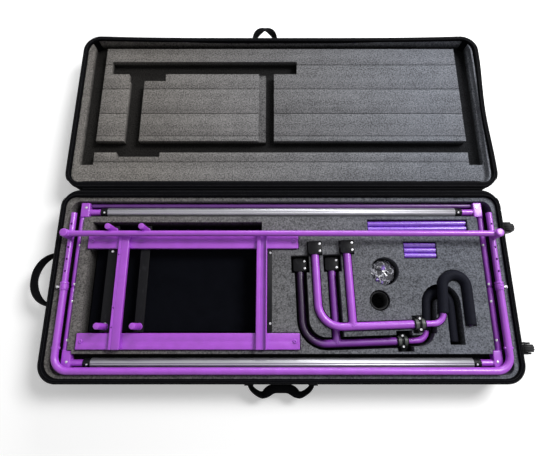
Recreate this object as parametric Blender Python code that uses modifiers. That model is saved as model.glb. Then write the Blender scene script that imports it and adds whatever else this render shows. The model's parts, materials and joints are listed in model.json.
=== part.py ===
"""A taken-down tubular frame kit, packed in its open, wheeled, soft-sided case.

All lengths are in metres. X runs along the case to the end with the wheels, Y runs back to the hinge and
the lid, and Z is up. The origin is the centre of the base's underside, on the floor.
Each moving group hangs from an empty that stands on its joint's axis.
"""

import math

import bmesh
import bpy
from mathutils import Matrix, Vector

# Fits and mesh quality
GAP = 0.0003
CUT_OVERRUN = 0.020
WELD = 0.00001
SMOOTH_ANGLE = math.radians(35)
ROUND_SIDES = 16
FINE_SIDES = 18
HOOK_SIDES = 10
SMALL_SIDES = 8
BEND_STEPS = 6
CORNER_STEPS = 6
EDGE_STEPS = 2

# Case shells, both open upwards at rest and closing on one plane. The walls are the foam and shell left
# outside the channel that holds the frame, so the case is as long and as deep as its kit needs.
END_WALL = 0.028
FRONT_WALL = 0.0183
BACK_WALL = 0.0395
CLOSING_HEIGHT = 0.110
SHELL_WALL = 0.008
SHELL_CORNER = 0.060
SHELL_EDGE = 0.014
RIM_WIDTH = 0.013
RIM_HINGE_WIDTH = 0.026
RIM_HEIGHT = 0.009
RIM_STEP = 0.0006
HINGE_GAP = 0.008

# Foam blocks
FOAM_STEP = 0.002
LID_RECESS = 0.027
LID_SLOT_DEPTH = 0.032
LID_POST_DEPTH = 0.026
LID_SHALLOW_DEPTH = 0.010
LID_LINER = 0.006
LID_SIDE_SLOT_SHORT = 0.002
LID_FRONT_SLOT_SPARE = 0.0045
CHANNEL_LEFT_WIDTH = 0.047
CHANNEL_RIGHT_WIDTH = 0.054
BLOCK_BEHIND_ROLLER = 0.0283
BLOCK_BEHIND_POST = 0.050
BLOCK_CORNER = 0.010
CHANNEL_FLOOR = 0.056
CHANNEL_BEHIND_ROLLER = 0.0357
CHANNEL_CORNER = 0.030
CHANNEL_SPARE = 0.0015
CUSHION_SPARE = 0.003

# Roller frame
ROLLER_RADIUS = 0.0155
ROLLER_WALL = 0.002
ROLLER_LENGTH = 1.200
ROLLER_SINK = 0.002
ROLLER_BEHIND_BLOCK = 0.0193
ROLLER_BEHIND_STAND = 0.0222
BUSHING_FLANGE = 0.024
BUSHING_SPIGOT = 0.020
BUSHING_CHAMFER = 0.003
STUB_RADIUS = 0.005
STUB_FIT = 0.0004
SIDE_TUBE_OFFSET = 0.010
SIDE_TUBE_RADIUS = 0.0092
CORNER_BLOCK_WIDTH = 0.030
CORNER_BLOCK_LENGTH = 0.052
CORNER_BLOCK_HEIGHT = 0.027
CORNER_BLOCK_EDGE = 0.003
CORNER_BLOCK_SPARE = 0.002
BACK_BLOCK_OFFSET = 0.006
FRONT_BLOCK_OFFSET = 0.012
SOCKET_RADIUS = 0.011
SOCKET_REACH = 0.0387
SPREADER_RADIUS = 0.008
SPREADER_DROP = 0.004
SPREADER_SPARE = 0.0012

# Stand: outer U tube, sliding inner legs and the cross bar over them
STAND_OFFSET = 0.029
STAND_RADIUS = 0.0112
STAND_BORE = 0.0100
STAND_BEND = 0.046
STAND_END_TO_HOLE = 0.039
STAND_BORE_DEPTH = 0.200
STACK_GAP = 0.001
COLLAR_RADIUS = 0.0135
COLLAR_FRONT = 0.022
COLLAR_LIP = 0.005
COLLAR_CHAMFER = 0.0015
PLUNGER_RADIUS = 0.0045
PLUNGER_HEAD = 0.006
PLUNGER_LENGTH = 0.010
PLUNGER_HEAD_LENGTH = 0.004
LEG_RADIUS = 0.0095
LEG_WALL = 0.0018
LEG_OVERLAP = 0.045
LEG_PAST_BAR = 0.081
LEG_HOLE_RADIUS = 0.0033
LEG_HOLE_PITCH = 0.040
LEG_HOLE_COUNT = 5
BAR_HOLE_INDEX = 3
BAR_RADIUS = 0.0095
BAR_RISE = 0.0255
BAR_TO_POST = 0.0015
FITTING_RADIUS = 0.014
FITTING_CAP = 0.0105
KNOB_RADIUS = 0.0135
KNOB_HEIGHT = 0.0075
KNOB_DOME = 0.003

# Platform: two flat rails, two cross channels, posts on black strips and a black angle strip
RAIL_INSIDE_BLOCK_LEFT = 0.028
RAIL_TO_ARM = 0.015
RAIL_SPACING = 0.3225
RAIL_INSIDE_BLOCK_FRONT = 0.0125
RAIL_WIDTH = 0.050
RAIL_HEIGHT = 0.014
RAIL_SINK = 0.004
RAIL_EDGE = 0.002
RAIL_HOLE_RADIUS = 0.0045
RAIL_HOLE_INSET = 0.016
CHANNEL_BAR_LEFT_INSET = 0.1255
CHANNEL_BAR_RIGHT_INSET = 0.1212
CHANNEL_BAR_WIDTH = 0.035
CHANNEL_BAR_HEIGHT = 0.015
CHANNEL_BAR_WALL = 0.0025
POST_LEFT_OF_BAR = 0.045
POST_RIGHT_OF_BAR = 0.0645
POST_BEHIND_BACK_RAIL = 0.039
POST_BEHIND_FRONT_RAIL = 0.0455
POST_RADIUS = 0.010
POST_HEIGHT = 0.064
POST_DOME = 0.002
POST_STRIP_WIDTH = 0.030
POST_STRIP_HEIGHT = 0.006
POST_STRIP_END = 0.017
ANGLE_LEG = 0.016
ANGLE_WALL = 0.003
ANGLE_END_SPARE = 0.004

# Board in the deep pocket under the platform
BOARD_POCKET_LEFT_INSET = 0.004
BOARD_POCKET_RIGHT_INSET = 0.122
BOARD_POCKET_BEHIND_FRONT_RAIL = 0.0235
BOARD_POCKET_BEHIND_BACK_RAIL = 0.069
BOARD_POCKET_FLOOR = 0.030
BOARD_THICKNESS = 0.024
BOARD_SPARE = 0.005
BOARD_EDGE = 0.004

# Arms: one shape, placed twice
ARM_RADIUS = 0.0125
ARM_BEND = 0.075
ARM_RISE = 0.250
ARM_SPACING = 0.107
ARM_REACH = 0.316
ARM_TILT = math.radians(2.0)
ARM_INSIDE_BLOCK_RIGHT = 0.0445
ARM_BEHIND_BLOCK_FRONT = 0.0795
UPPER_ARM_PROUD = 0.002
LOWER_ARM_SHIFT_X = -0.0485
LOWER_ARM_SHIFT_Y = -0.0525
LOWER_ARM_DROP = 0.0345
JAW_WIDTH = 0.045
JAW_LENGTH = 0.043
JAW_HEIGHT = 0.033
JAW_EDGE = 0.004
JAW_RADIUS = 0.0105
JAW_MOUTH = 0.016
JAW_FORWARD = 0.006
JAW_SOCKET = 0.014
COUPLING_RADIUS = 0.0165
COUPLING_LENGTH = 0.036
COUPLING_SOCKET = 0.016
COUPLING_GROOVE = 0.002
COUPLING_GROOVE_WIDTH = 0.004
COUPLING_LUG_WIDTH = 0.008
COUPLING_LUG_LENGTH = 0.020
COUPLING_LUG_HEIGHT = 0.018
HOOK_TUBE_RADIUS = 0.0095
HOOK_GRIP_RADIUS = 0.016
HOOK_BORE_SPARE = 0.0004
HOOK_STUB_BEND = 0.033
HOOK_STUB_REACH = 0.093
HOOK_WIDTH = 0.079
HOOK_CENTRE_Y = 0.113
HOOK_NEAR_END_Y = 0.031
HOOK_NEAR_LEAN = 0.119
HOOK_FAR_END_Y = -0.009
HOOK_FAR_LEAN = 0.035
HOOK_CORE_INSET = 0.003
ARM_SLOT_SPARE = 0.008
ARM_GROOVE_SPARE = 0.003

# Loose tubes, ring and hardware bag, each in its own pocket
LONG_TUBE_LENGTH = 0.336
LONG_TUBE_RADIUS = 0.0092
LONG_TUBE_PITCH = 0.0192
LONG_TUBE_INSET = 0.037
LONG_TUBE_BEFORE_BLOCK_BACK = 0.032
LONG_TUBE_SKEW = math.radians(0.5)
LONG_TUBE_SINK = 0.005
SHORT_TUBE_LENGTH = 0.106
SHORT_TUBE_RADIUS = 0.0086
SHORT_TUBE_PITCH = 0.0177
SHORT_TUBE_COUNT = 3
SHORT_TUBE_INSET = 0.151
SHORT_TUBE_BEFORE_LONG = 0.085
SHORT_TUBE_SINK = 0.001
LOOSE_TUBE_WALL = 0.0015
TUBE_POCKET_SPARE = 0.003
RING_RIGHT_OF_ARM = 0.1985
RING_BEHIND_ARM = 0.086
RING_RADIUS = 0.031
RING_WALL = 0.006
RING_HEIGHT = 0.056
RING_EDGE = 0.002
BAG_RIGHT_OF_ARM = 0.2218
BAG_BEHIND_ARM = 0.1815
BAG_RADIUS = 0.044
BAG_HEIGHT = 0.058
BAG_PROFILE_SHARES = ((0.0, 1.0), (0.5, 1.0), (0.75, 0.875), (1.0, 0.625), (1.0, 0.25), (0.75, 0.0),
                      (0.0, 0.0))
ROUND_POCKET_SPARE = 0.003
ROUND_POCKET_FLOOR = 0.036

# Wheels on the right end
WHEEL_RADIUS = 0.025
WHEEL_WIDTH = 0.024
WHEEL_TREAD_ROUND = 0.004
WHEEL_OUT = 0.057
WHEEL_Z = 0.031
WHEEL_BACK_INSET = 0.1175
WHEEL_FRONT_INSET = 0.0965
AXLE_RADIUS = 0.004
AXLE_FIT = 0.0004
FORK_ARM = 0.006
FORK_SIDE_GAP = 0.001
FORK_HEIGHT = 0.030
FORK_PAST_AXLE = 0.008
FORK_PLATE = 0.007
FORK_PLATE_HEIGHT = 0.052
FORK_EDGE = 0.002

# Webbing handles
STRAP_WIDTH = 0.026
STRAP_THICKNESS = 0.005
STRAP_STEPS = 14
STRAP_WALL_SPARE = 0.001
SIDE_HANDLE_Y = 0.005
SIDE_HANDLE_SPAN = 0.172
SIDE_HANDLE_OUT = 0.088
SIDE_HANDLE_Z = 0.072
FRONT_HANDLE_X = -0.003
FRONT_HANDLE_SPAN = 0.202
FRONT_HANDLE_OUT = 0.074
FRONT_HANDLE_DROOP = math.radians(26)
LID_HANDLE_X = -0.0625
LID_HANDLE_SPAN = 0.120
LID_HANDLE_OUT = 0.078
LONG_HANDLE_Z = 0.062

# Places worked out from the sizes above: along the case from the rollers' length
BUSHING_FACE = ROLLER_LENGTH / 2 + GAP + BUSHING_FLANGE
CORNER_BLOCK_X = BUSHING_FACE + SOCKET_REACH + CORNER_BLOCK_WIDTH / 2
SIDE_TUBE_X = CORNER_BLOCK_X + SIDE_TUBE_OFFSET
STAND_X = CORNER_BLOCK_X + STAND_OFFSET
CHANNEL_X = STAND_X + COLLAR_RADIUS + CHANNEL_SPARE
CASE_LENGTH = 2 * (CHANNEL_X + END_WALL)
BLOCK_LEFT = CHANNEL_LEFT_WIDTH - CHANNEL_X
BLOCK_RIGHT = CHANNEL_X - CHANNEL_RIGHT_WIDTH
HOOK_LEG_X = ARM_REACH + HOOK_STUB_REACH
UPPER_ARM_X = BLOCK_RIGHT - ARM_INSIDE_BLOCK_RIGHT - HOOK_LEG_X - HOOK_WIDTH - HOOK_GRIP_RADIUS
RAIL_LEFT = BLOCK_LEFT + RAIL_INSIDE_BLOCK_LEFT
RAIL_RIGHT = UPPER_ARM_X + LOWER_ARM_SHIFT_X - RAIL_TO_ARM
CHANNEL_BAR_LEFT_X = RAIL_LEFT + CHANNEL_BAR_LEFT_INSET
CHANNEL_BAR_RIGHT_X = RAIL_RIGHT - CHANNEL_BAR_RIGHT_INSET
POST_LEFT_X = CHANNEL_BAR_LEFT_X - POST_LEFT_OF_BAR
POST_RIGHT_X = CHANNEL_BAR_LEFT_X + POST_RIGHT_OF_BAR
BOARD_POCKET_LEFT = RAIL_LEFT + BOARD_POCKET_LEFT_INSET
BOARD_POCKET_RIGHT = RAIL_RIGHT - BOARD_POCKET_RIGHT_INSET
LONG_TUBE_X = BLOCK_RIGHT - LONG_TUBE_INSET - LONG_TUBE_LENGTH / 2
SHORT_TUBE_X = BLOCK_RIGHT - SHORT_TUBE_INSET - SHORT_TUBE_LENGTH / 2
RING_X = UPPER_ARM_X + RING_RIGHT_OF_ARM
BAG_X = UPPER_ARM_X + BAG_RIGHT_OF_ARM

# Across the case, from its front to the hinge
STAND_TO_CASE_FRONT = STAND_RADIUS + CHANNEL_SPARE + FRONT_WALL
BLOCK_TO_CASE_FRONT = STAND_TO_CASE_FRONT + ROLLER_BEHIND_STAND + BLOCK_BEHIND_ROLLER
RAIL_TO_CASE_FRONT = BLOCK_TO_CASE_FRONT + RAIL_INSIDE_BLOCK_FRONT + RAIL_WIDTH / 2
BLOCK_TO_CASE_BACK = ROLLER_BEHIND_BLOCK + CHANNEL_BEHIND_ROLLER + BACK_WALL
RAIL_TO_CASE_BACK = POST_BEHIND_BACK_RAIL + BLOCK_BEHIND_POST + BLOCK_TO_CASE_BACK
CASE_DEPTH = RAIL_TO_CASE_FRONT + RAIL_SPACING + RAIL_TO_CASE_BACK
STAND_FRONT_Y = STAND_TO_CASE_FRONT - CASE_DEPTH / 2
ROLLER_FRONT_Y = STAND_FRONT_Y + ROLLER_BEHIND_STAND
BLOCK_FRONT = ROLLER_FRONT_Y + BLOCK_BEHIND_ROLLER
RAIL_FRONT_Y = RAIL_TO_CASE_FRONT - CASE_DEPTH / 2
RAIL_BACK_Y = RAIL_FRONT_Y + RAIL_SPACING
POST_FRONT_Y = RAIL_FRONT_Y + POST_BEHIND_FRONT_RAIL
POST_BACK_Y = RAIL_BACK_Y + POST_BEHIND_BACK_RAIL
BLOCK_BACK = POST_BACK_Y + BLOCK_BEHIND_POST
ROLLER_BACK_Y = BLOCK_BACK + ROLLER_BEHIND_BLOCK
CHANNEL_BACK = ROLLER_BACK_Y + CHANNEL_BEHIND_ROLLER
CHANNEL_FRONT = STAND_FRONT_Y - STAND_RADIUS - CHANNEL_SPARE
BOARD_POCKET_FRONT = RAIL_FRONT_Y + BOARD_POCKET_BEHIND_FRONT_RAIL
BOARD_POCKET_BACK = RAIL_BACK_Y + BOARD_POCKET_BEHIND_BACK_RAIL
BAR_Y = POST_BACK_Y - POST_RADIUS - BAR_TO_POST - BAR_RADIUS
LEG_FIRST_HOLE_Y = BAR_Y - BAR_HOLE_INDEX * LEG_HOLE_PITCH
LEG_TIP_Y = BAR_Y + LEG_PAST_BAR
STAND_END_Y = LEG_FIRST_HOLE_Y - STAND_END_TO_HOLE
UPPER_ARM_Y = BLOCK_FRONT + ARM_BEHIND_BLOCK_FRONT
RING_Y = UPPER_ARM_Y + RING_BEHIND_ARM
BAG_Y = UPPER_ARM_Y + BAG_BEHIND_ARM
LONG_TUBE_Y = BLOCK_BACK - LONG_TUBE_BEFORE_BLOCK_BACK
SHORT_TUBE_Y = LONG_TUBE_Y - SHORT_TUBE_BEFORE_LONG
WHEEL_BACK_Y = CASE_DEPTH / 2 - WHEEL_BACK_INSET
WHEEL_FRONT_Y = WHEEL_FRONT_INSET - CASE_DEPTH / 2
HINGE_Y = CASE_DEPTH / 2 + HINGE_GAP / 2
LID_Y = CASE_DEPTH + HINGE_GAP

# Heights
SHELL_TOP = CLOSING_HEIGHT - GAP
RIM_BOTTOM = SHELL_TOP - RIM_STEP - RIM_HEIGHT
FOAM_TOP = RIM_BOTTOM - GAP
FOAM_BOTTOM = SHELL_WALL + GAP
LID_FOAM_TOP = CLOSING_HEIGHT - LID_RECESS
ROLLER_Z = FOAM_TOP - ROLLER_SINK - ROLLER_RADIUS
STAND_Z = ROLLER_Z + CORNER_BLOCK_HEIGHT / 2 + STACK_GAP + STAND_RADIUS
BAR_Z = STAND_Z + LEG_RADIUS + BAR_RISE
FITTING_BOTTOM = STAND_Z + LEG_RADIUS + GAP
FITTING_TOP = BAR_Z + FITTING_CAP
RAIL_BOTTOM = FOAM_TOP - RAIL_SINK + GAP
RAIL_TOP = RAIL_BOTTOM + RAIL_HEIGHT
CHANNEL_BAR_Z = RAIL_TOP + GAP + CHANNEL_BAR_HEIGHT / 2
UPPER_ARM_Z = FOAM_TOP + UPPER_ARM_PROUD
LOWER_ARM_Z = UPPER_ARM_Z - LOWER_ARM_DROP


def clear_scene():
    """Remove every object, so the script starts from nothing."""
    for item in list(bpy.data.objects):
        bpy.data.objects.remove(item, do_unlink=True)


def make_collection(name):
    """A collection under the scene's own, or the one that is already there."""
    found = bpy.data.collections.get(name) or bpy.data.collections.new(name)
    if name not in bpy.context.scene.collection.children:
        bpy.context.scene.collection.children.link(found)
    return found


def make_material(name, colour, roughness, metallic):
    """A Principled material of one colour."""
    made = bpy.data.materials.new(name)
    made.use_nodes = True
    shader = made.node_tree.nodes["Principled BSDF"]
    shader.inputs["Base Color"].default_value = (*colour, 1.0)
    shader.inputs["Roughness"].default_value = roughness
    shader.inputs["Metallic"].default_value = metallic
    made.diffuse_color = (*colour, 1.0)
    return made


clear_scene()
PARTS = make_collection("quilting_frame_kit")
CUTTERS = make_collection("cutters")
PURPLE = ("powder_purple", (0.38, 0.08, 0.60), 0.35, 0.2)
VIOLET = ("loose_tube_violet", (0.22, 0.07, 0.55), 0.35, 0.3)
SILVER = ("roller_silver", (0.75, 0.75, 0.77), 0.30, 0.9)
STEEL = ("bright_steel", (0.60, 0.60, 0.62), 0.30, 0.9)
BLACK_PLASTIC = ("black_plastic", (0.02, 0.02, 0.022), 0.45, 0.0)
BLACK_RUBBER = ("black_rubber", (0.015, 0.015, 0.016), 0.75, 0.0)
SHELL_CLOTH = ("shell_cloth", (0.012, 0.012, 0.014), 0.85, 0.0)
WEBBING = ("webbing", (0.010, 0.010, 0.011), 0.90, 0.0)
FOAM_GREY = ("foam_grey", (0.14, 0.14, 0.145), 0.95, 0.0)
GRIP_FOAM = ("grip_foam", (0.014, 0.014, 0.016), 0.95, 0.0)
BOARD_CLOTH = ("board_cloth", (0.008, 0.008, 0.010), 0.95, 0.0)
CLEAR_FILM = ("clear_film", (0.80, 0.80, 0.85), 0.15, 0.0)


def link_new(name, data):
    """A new object among the cutters, where shapes wait until they are named as parts."""
    made = bpy.data.objects.new(name, data)
    CUTTERS.objects.link(made)
    made.hide_render = True
    made.display_type = "WIRE"
    return made


def from_bmesh(name, work):
    """An object that holds the mesh of a finished bmesh."""
    mesh = bpy.data.meshes.new(name)
    work.to_mesh(mesh)
    work.free()
    return link_new(name, mesh)


def bake(item):
    """Apply an object's modifiers, or turn its curve into a mesh whose caps are welded."""
    bpy.context.view_layer.update()
    graph = bpy.context.evaluated_depsgraph_get()
    mesh = bpy.data.meshes.new_from_object(item.evaluated_get(graph))
    work = bmesh.new()
    work.from_mesh(mesh)
    bmesh.ops.remove_doubles(work, verts=work.verts, dist=WELD)
    work.to_mesh(mesh)
    work.free()
    solid = link_new(item.name, mesh)
    solid.matrix_world = item.matrix_world
    bpy.data.objects.remove(item, do_unlink=True)
    return solid


def combine(target, tools, operation):
    """Cut the tools from the target or join them to it, and remove them."""
    for tool in tools:
        step = target.modifiers.new(operation.lower(), "BOOLEAN")
        step.operation = operation
        step.solver = "EXACT"
        step.object = tool
    solid = bake(target)
    for tool in tools:
        bpy.data.objects.remove(tool, do_unlink=True)
    return solid


def cut(target, *tools):
    """The target less the tools."""
    return combine(target, tools, "DIFFERENCE")


def join(target, *tools):
    """The target and the tools as one body."""
    return combine(target, tools, "UNION")


def make_axis(name, point, parent=None, turn=0.0):
    """An empty that marks a joint's axis, turned about Z, under its parent's empty."""
    empty = bpy.data.objects.new(name, None)
    PARTS.objects.link(empty)
    empty.matrix_world = Matrix.Translation(point) @ Matrix.Rotation(turn, 4, "Z")
    bpy.context.view_layer.update()
    if parent:
        empty.parent = parent
        empty.matrix_parent_inverse = parent.matrix_world.inverted()
    return empty


def name_part(item, name, finish, axis):
    """Make a shape a part: its name, its own material, smooth shading and the empty it hangs from."""
    label, colour, roughness, metallic = finish
    item.name = name
    item.data.name = name
    item.data.materials.clear()
    item.data.materials.append(make_material(name + "_" + label, colour, roughness, metallic))
    item.data.shade_smooth()
    item.data.set_sharp_from_angle(angle=SMOOTH_ANGLE)
    CUTTERS.objects.unlink(item)
    PARTS.objects.link(item)
    item.hide_render = False
    item.display_type = "TEXTURED"
    bpy.context.view_layer.update()
    item.parent = axis
    item.matrix_parent_inverse = axis.matrix_world.inverted()
    return item


def box(size, centre, upright=0.0, around=0.0, steps=EDGE_STEPS):
    """A box with its upright edges rounded by one radius and all its edges by another."""
    work = bmesh.new()
    bmesh.ops.create_cube(work, size=1.0)
    bmesh.ops.scale(work, vec=size, verts=work.verts)
    if upright:
        edges = [edge for edge in work.edges if abs(edge.verts[0].co.z - edge.verts[1].co.z) > WELD]
        bmesh.ops.bevel(work, geom=edges, offset=upright, segments=steps, profile=0.5, affect="EDGES")
    if around:
        bmesh.ops.bevel(work, geom=work.edges[:], offset=around, segments=1, profile=0.5, affect="EDGES")
    made = from_bmesh("box", work)
    made.location = centre
    return made


def span_box(low, high):
    """A plain box from its lowest to its highest corner."""
    size = [top - bottom for bottom, top in zip(low, high)]
    centre = [(top + bottom) / 2 for bottom, top in zip(low, high)]
    return box(size, centre)


def rod(radius, start, end, sides=ROUND_SIDES):
    """A closed cylinder from one point to another."""
    start, end = Vector(start), Vector(end)
    run = end - start
    work = bmesh.new()
    bmesh.ops.create_cone(work, cap_ends=True, segments=sides, radius1=radius, radius2=radius,
                          depth=run.length)
    made = from_bmesh("rod", work)
    made.location = (start + end) / 2
    made.rotation_euler = run.to_track_quat("Z", "Y").to_euler()
    return made


def pipe(radius, wall, start, end, sides=ROUND_SIDES):
    """A straight tube, open at both ends."""
    start, end = Vector(start), Vector(end)
    along = (end - start).normalized() * CUT_OVERRUN
    return cut(rod(radius, start, end, sides), rod(radius - wall, start - along, end + along, sides))


def turned(profile, centre, direction, sides=FINE_SIDES, ring=False):
    """A profile of (radius, height) points, top to bottom, revolved about an axis through a point."""
    work = bmesh.new()
    points = [work.verts.new((radius, 0.0, height)) for radius, height in profile]
    for first, second in zip(points, points[1:]):
        work.edges.new((first, second))
    if ring:
        work.edges.new((points[-1], points[0]))
    made = from_bmesh("turned", work)
    spin = made.modifiers.new("spin", "SCREW")
    spin.axis = "Z"
    spin.angle = math.tau
    spin.steps = sides
    spin.render_steps = sides
    spin.use_merge_vertices = True
    spin.merge_threshold = WELD
    made = bake(made)
    made.location = centre
    made.rotation_euler = Vector(direction).to_track_quat("Z", "Y").to_euler()
    return made


def arc_at(before, corner, after, radius, steps):
    """Points on the arc that rounds one corner of a path."""
    back = (before - corner).normalized()
    ahead = (after - corner).normalized()
    half = back.angle(ahead) / 2
    centre = corner + (back + ahead).normalized() * (radius / math.sin(half))
    first = corner + back * (radius / math.tan(half)) - centre
    last = corner + ahead * (radius / math.tan(half)) - centre
    axis = first.cross(last).normalized()
    turn = math.pi - 2 * half
    return [centre + Matrix.Rotation(turn * step / steps, 3, axis) @ first for step in range(steps + 1)]


def filleted(corners, radius, steps=BEND_STEPS):
    """A path through corner points, with each inner corner rounded by one radius."""
    corners = [Vector(corner) for corner in corners]
    points = [corners[0]]
    for before, corner, after in zip(corners, corners[1:], corners[2:]):
        points += arc_at(before, corner, after, radius, steps)
    return points + [corners[-1]]


def swept(points, radius, sides=ROUND_SIDES):
    """A round tube along a path, with closed ends."""
    curve = bpy.data.curves.new("swept", "CURVE")
    curve.dimensions = "3D"
    curve.bevel_depth = radius
    curve.bevel_resolution = (sides - 4) // 2
    curve.use_fill_caps = True
    spline = curve.splines.new("POLY")
    spline.points.add(len(points) - 1)
    for slot, point in zip(spline.points, points):
        slot.co = (*point, 1.0)
    return bake(link_new("swept", curve))


def plate(loops, bottom, top):
    """A flat outline with its holes, as a slab between two heights."""
    curve = bpy.data.curves.new("plate", "CURVE")
    curve.dimensions = "2D"
    curve.fill_mode = "BOTH"
    curve.extrude = (top - bottom) / 2
    for loop in loops:
        spline = curve.splines.new("POLY")
        spline.points.add(len(loop) - 1)
        spline.use_cyclic_u = True
        for slot, point in zip(spline.points, loop):
            slot.co = (point[0], point[1], 0.0, 1.0)
    made = link_new("plate", curve)
    made.location = (0.0, 0.0, (top + bottom) / 2)
    return bake(made)


def rounded_rectangle(left, right, front, back, radius, steps=CORNER_STEPS):
    """The outline of a rectangle with one radius at its four corners."""
    loop = []
    centres = ((right - radius, back - radius), (left + radius, back - radius),
               (left + radius, front + radius), (right - radius, front + radius))
    for quarter, (x, y) in enumerate(centres):
        for step in range(steps + 1):
            angle = math.pi / 2 * (quarter + step / steps)
            loop.append((x + radius * math.cos(angle), y + radius * math.sin(angle)))
    return loop


def stroke(points, half_width, end=0.0):
    """The outline of a band of one half width along a flat path, longer by end at both ends."""
    points = [Vector((point[0], point[1])) for point in points]
    points[0] = points[0] + (points[0] - points[1]).normalized() * end
    points[-1] = points[-1] + (points[-1] - points[-2]).normalized() * end
    left, right = [], []
    for index, point in enumerate(points):
        before = points[max(index - 1, 0)]
        after = points[min(index + 1, len(points) - 1)]
        along = (after - before).normalized()
        side = Vector((-along.y, along.x)) * half_width
        left.append(point + side)
        right.append(point - side)
    return left + right[::-1]


def mirror_y(value):
    """Where a place in the base lands on the open lid."""
    return 2 * HINGE_Y - value


def case_shell(centre_y, hinge_side):
    """A soft-sided half shell: a rounded open tray with a rim that is wider along the hinge."""
    half_length, half_depth = CASE_LENGTH / 2, CASE_DEPTH / 2
    work = bmesh.new()
    bmesh.ops.create_cube(work, size=1.0)
    bmesh.ops.scale(work, vec=(CASE_LENGTH, CASE_DEPTH, SHELL_TOP), verts=work.verts)
    upright = [edge for edge in work.edges if abs(edge.verts[0].co.z - edge.verts[1].co.z) > WELD]
    bmesh.ops.bevel(work, geom=upright, offset=SHELL_CORNER, segments=CORNER_STEPS, profile=0.5,
                    affect="EDGES")
    floor = [edge for edge in work.edges if max(vertex.co.z for vertex in edge.verts) < 0.0]
    bmesh.ops.bevel(work, geom=floor, offset=SHELL_EDGE, segments=EDGE_STEPS, profile=0.5, affect="EDGES")
    lid = [face for face in work.faces if face.normal.z > 0.5 and face.calc_center_median().z > 0.0]
    bmesh.ops.delete(work, geom=lid, context="FACES_ONLY")
    tray = from_bmesh("tray", work)
    tray.location = (0.0, centre_y, SHELL_TOP / 2)
    wall = tray.modifiers.new("wall", "SOLIDIFY")
    wall.thickness = SHELL_WALL
    wall.offset = -1.0
    wall.use_even_offset = True
    front, back = centre_y - half_depth, centre_y + half_depth
    inner_front = front + (RIM_WIDTH if hinge_side > 0 else RIM_HINGE_WIDTH)
    inner_back = back - (RIM_HINGE_WIDTH if hinge_side > 0 else RIM_WIDTH)
    sunk = SHELL_WALL / 2
    outer = rounded_rectangle(sunk - half_length, half_length - sunk, front + sunk, back - sunk,
                              SHELL_CORNER - sunk)
    inner = rounded_rectangle(RIM_WIDTH - half_length, half_length - RIM_WIDTH, inner_front, inner_back,
                              SHELL_CORNER - RIM_WIDTH)
    return join(bake(tray), plate([outer, inner], RIM_BOTTOM, RIM_BOTTOM + RIM_HEIGHT))


def foam_block(centre_y, top):
    """A foam slab that fills a shell up to a height, with a smaller foot inside the rounded floor edge."""
    shoulder = SHELL_EDGE + FOAM_STEP
    foot_top = shoulder + FOAM_STEP
    slabs = []
    for inset, low, high in ((SHELL_WALL + GAP, shoulder, top), (shoulder, FOAM_BOTTOM, foot_top)):
        half_length = CASE_LENGTH / 2 - inset
        half_depth = CASE_DEPTH / 2 - inset
        loop = rounded_rectangle(-half_length, half_length, centre_y - half_depth, centre_y + half_depth,
                                 SHELL_CORNER - inset)
        slabs.append(plate([loop], low, high))
    return join(*slabs)


def frame_channel():
    """The cutter of the channel round the middle block, which holds the roller frame and the stand."""
    outer = rounded_rectangle(-CHANNEL_X, CHANNEL_X, CHANNEL_FRONT, CHANNEL_BACK, CHANNEL_CORNER)
    inner = rounded_rectangle(BLOCK_LEFT, BLOCK_RIGHT, BLOCK_FRONT, BLOCK_BACK, BLOCK_CORNER)
    return plate([outer, inner], CHANNEL_FLOOR, FOAM_TOP + CUT_OVERRUN)


def pocket(left, right, front, back, floor):
    """A plain pocket cutter, open at the top of the base foam."""
    return span_box((left, front, floor), (right, back, FOAM_TOP + CUT_OVERRUN))


def round_pocket(x, y, radius, floor):
    """A round pocket cutter, open at the top of the base foam."""
    return rod(radius, (x, y, floor), (x, y, FOAM_TOP + CUT_OVERRUN), FINE_SIDES)


def corner_pockets():
    """Cutters that widen the channel round the four corner blocks."""
    half_width = CORNER_BLOCK_WIDTH / 2 + CORNER_BLOCK_SPARE
    half_length = CORNER_BLOCK_LENGTH / 2 + CORNER_BLOCK_SPARE
    ends = (ROLLER_FRONT_Y + FRONT_BLOCK_OFFSET, ROLLER_BACK_Y + BACK_BLOCK_OFFSET)
    return [pocket(side * CORNER_BLOCK_X - half_width, side * CORNER_BLOCK_X + half_width,
                   y - half_length, y + half_length, CHANNEL_FLOOR) for side in (-1, 1) for y in ends]


def arm_path():
    """The main tube of an arm in its own plane: down one side, round the bend and out to the coupling."""
    return filleted([(0.0, ARM_RISE, 0.0), (0.0, 0.0, 0.0), (ARM_REACH, 0.0, 0.0)], ARM_BEND)


def near_leg(y):
    """A point on the hook's near leg, which leans, at a place along the arm's plane."""
    return Vector((HOOK_LEG_X - HOOK_NEAR_LEAN * (HOOK_CENTRE_Y - y), y, 0.0))


def far_leg(y):
    """A point on the hook's far leg at a place along the arm's plane."""
    return Vector((HOOK_LEG_X + HOOK_WIDTH - HOOK_FAR_LEAN * (HOOK_CENTRE_Y - y), y, 0.0))


def hook_path(extra=0.0):
    """The padded hook: up its near leg, over the top and down its far leg, longer by extra at both ends."""
    radius = HOOK_WIDTH / 2
    steps = 2 * BEND_STEPS - 2
    over = []
    for step in range(steps + 1):
        angle = math.pi * (1 - step / steps)
        over.append(Vector((HOOK_LEG_X + radius + radius * math.cos(angle),
                            HOOK_CENTRE_Y + radius * math.sin(angle), 0.0)))
    return [near_leg(HOOK_NEAR_END_Y - extra)] + over + [far_leg(HOOK_FAR_END_Y - extra)]


def stub_path():
    """The bent tube from the coupling to the end of the hook's near leg."""
    start = (ARM_REACH + COUPLING_LENGTH - 2 * COUPLING_SOCKET + 2 * GAP, 0.0, 0.0)
    return filleted([start, near_leg(0.0), near_leg(HOOK_NEAR_END_Y)], HOOK_STUB_BEND)


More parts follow.
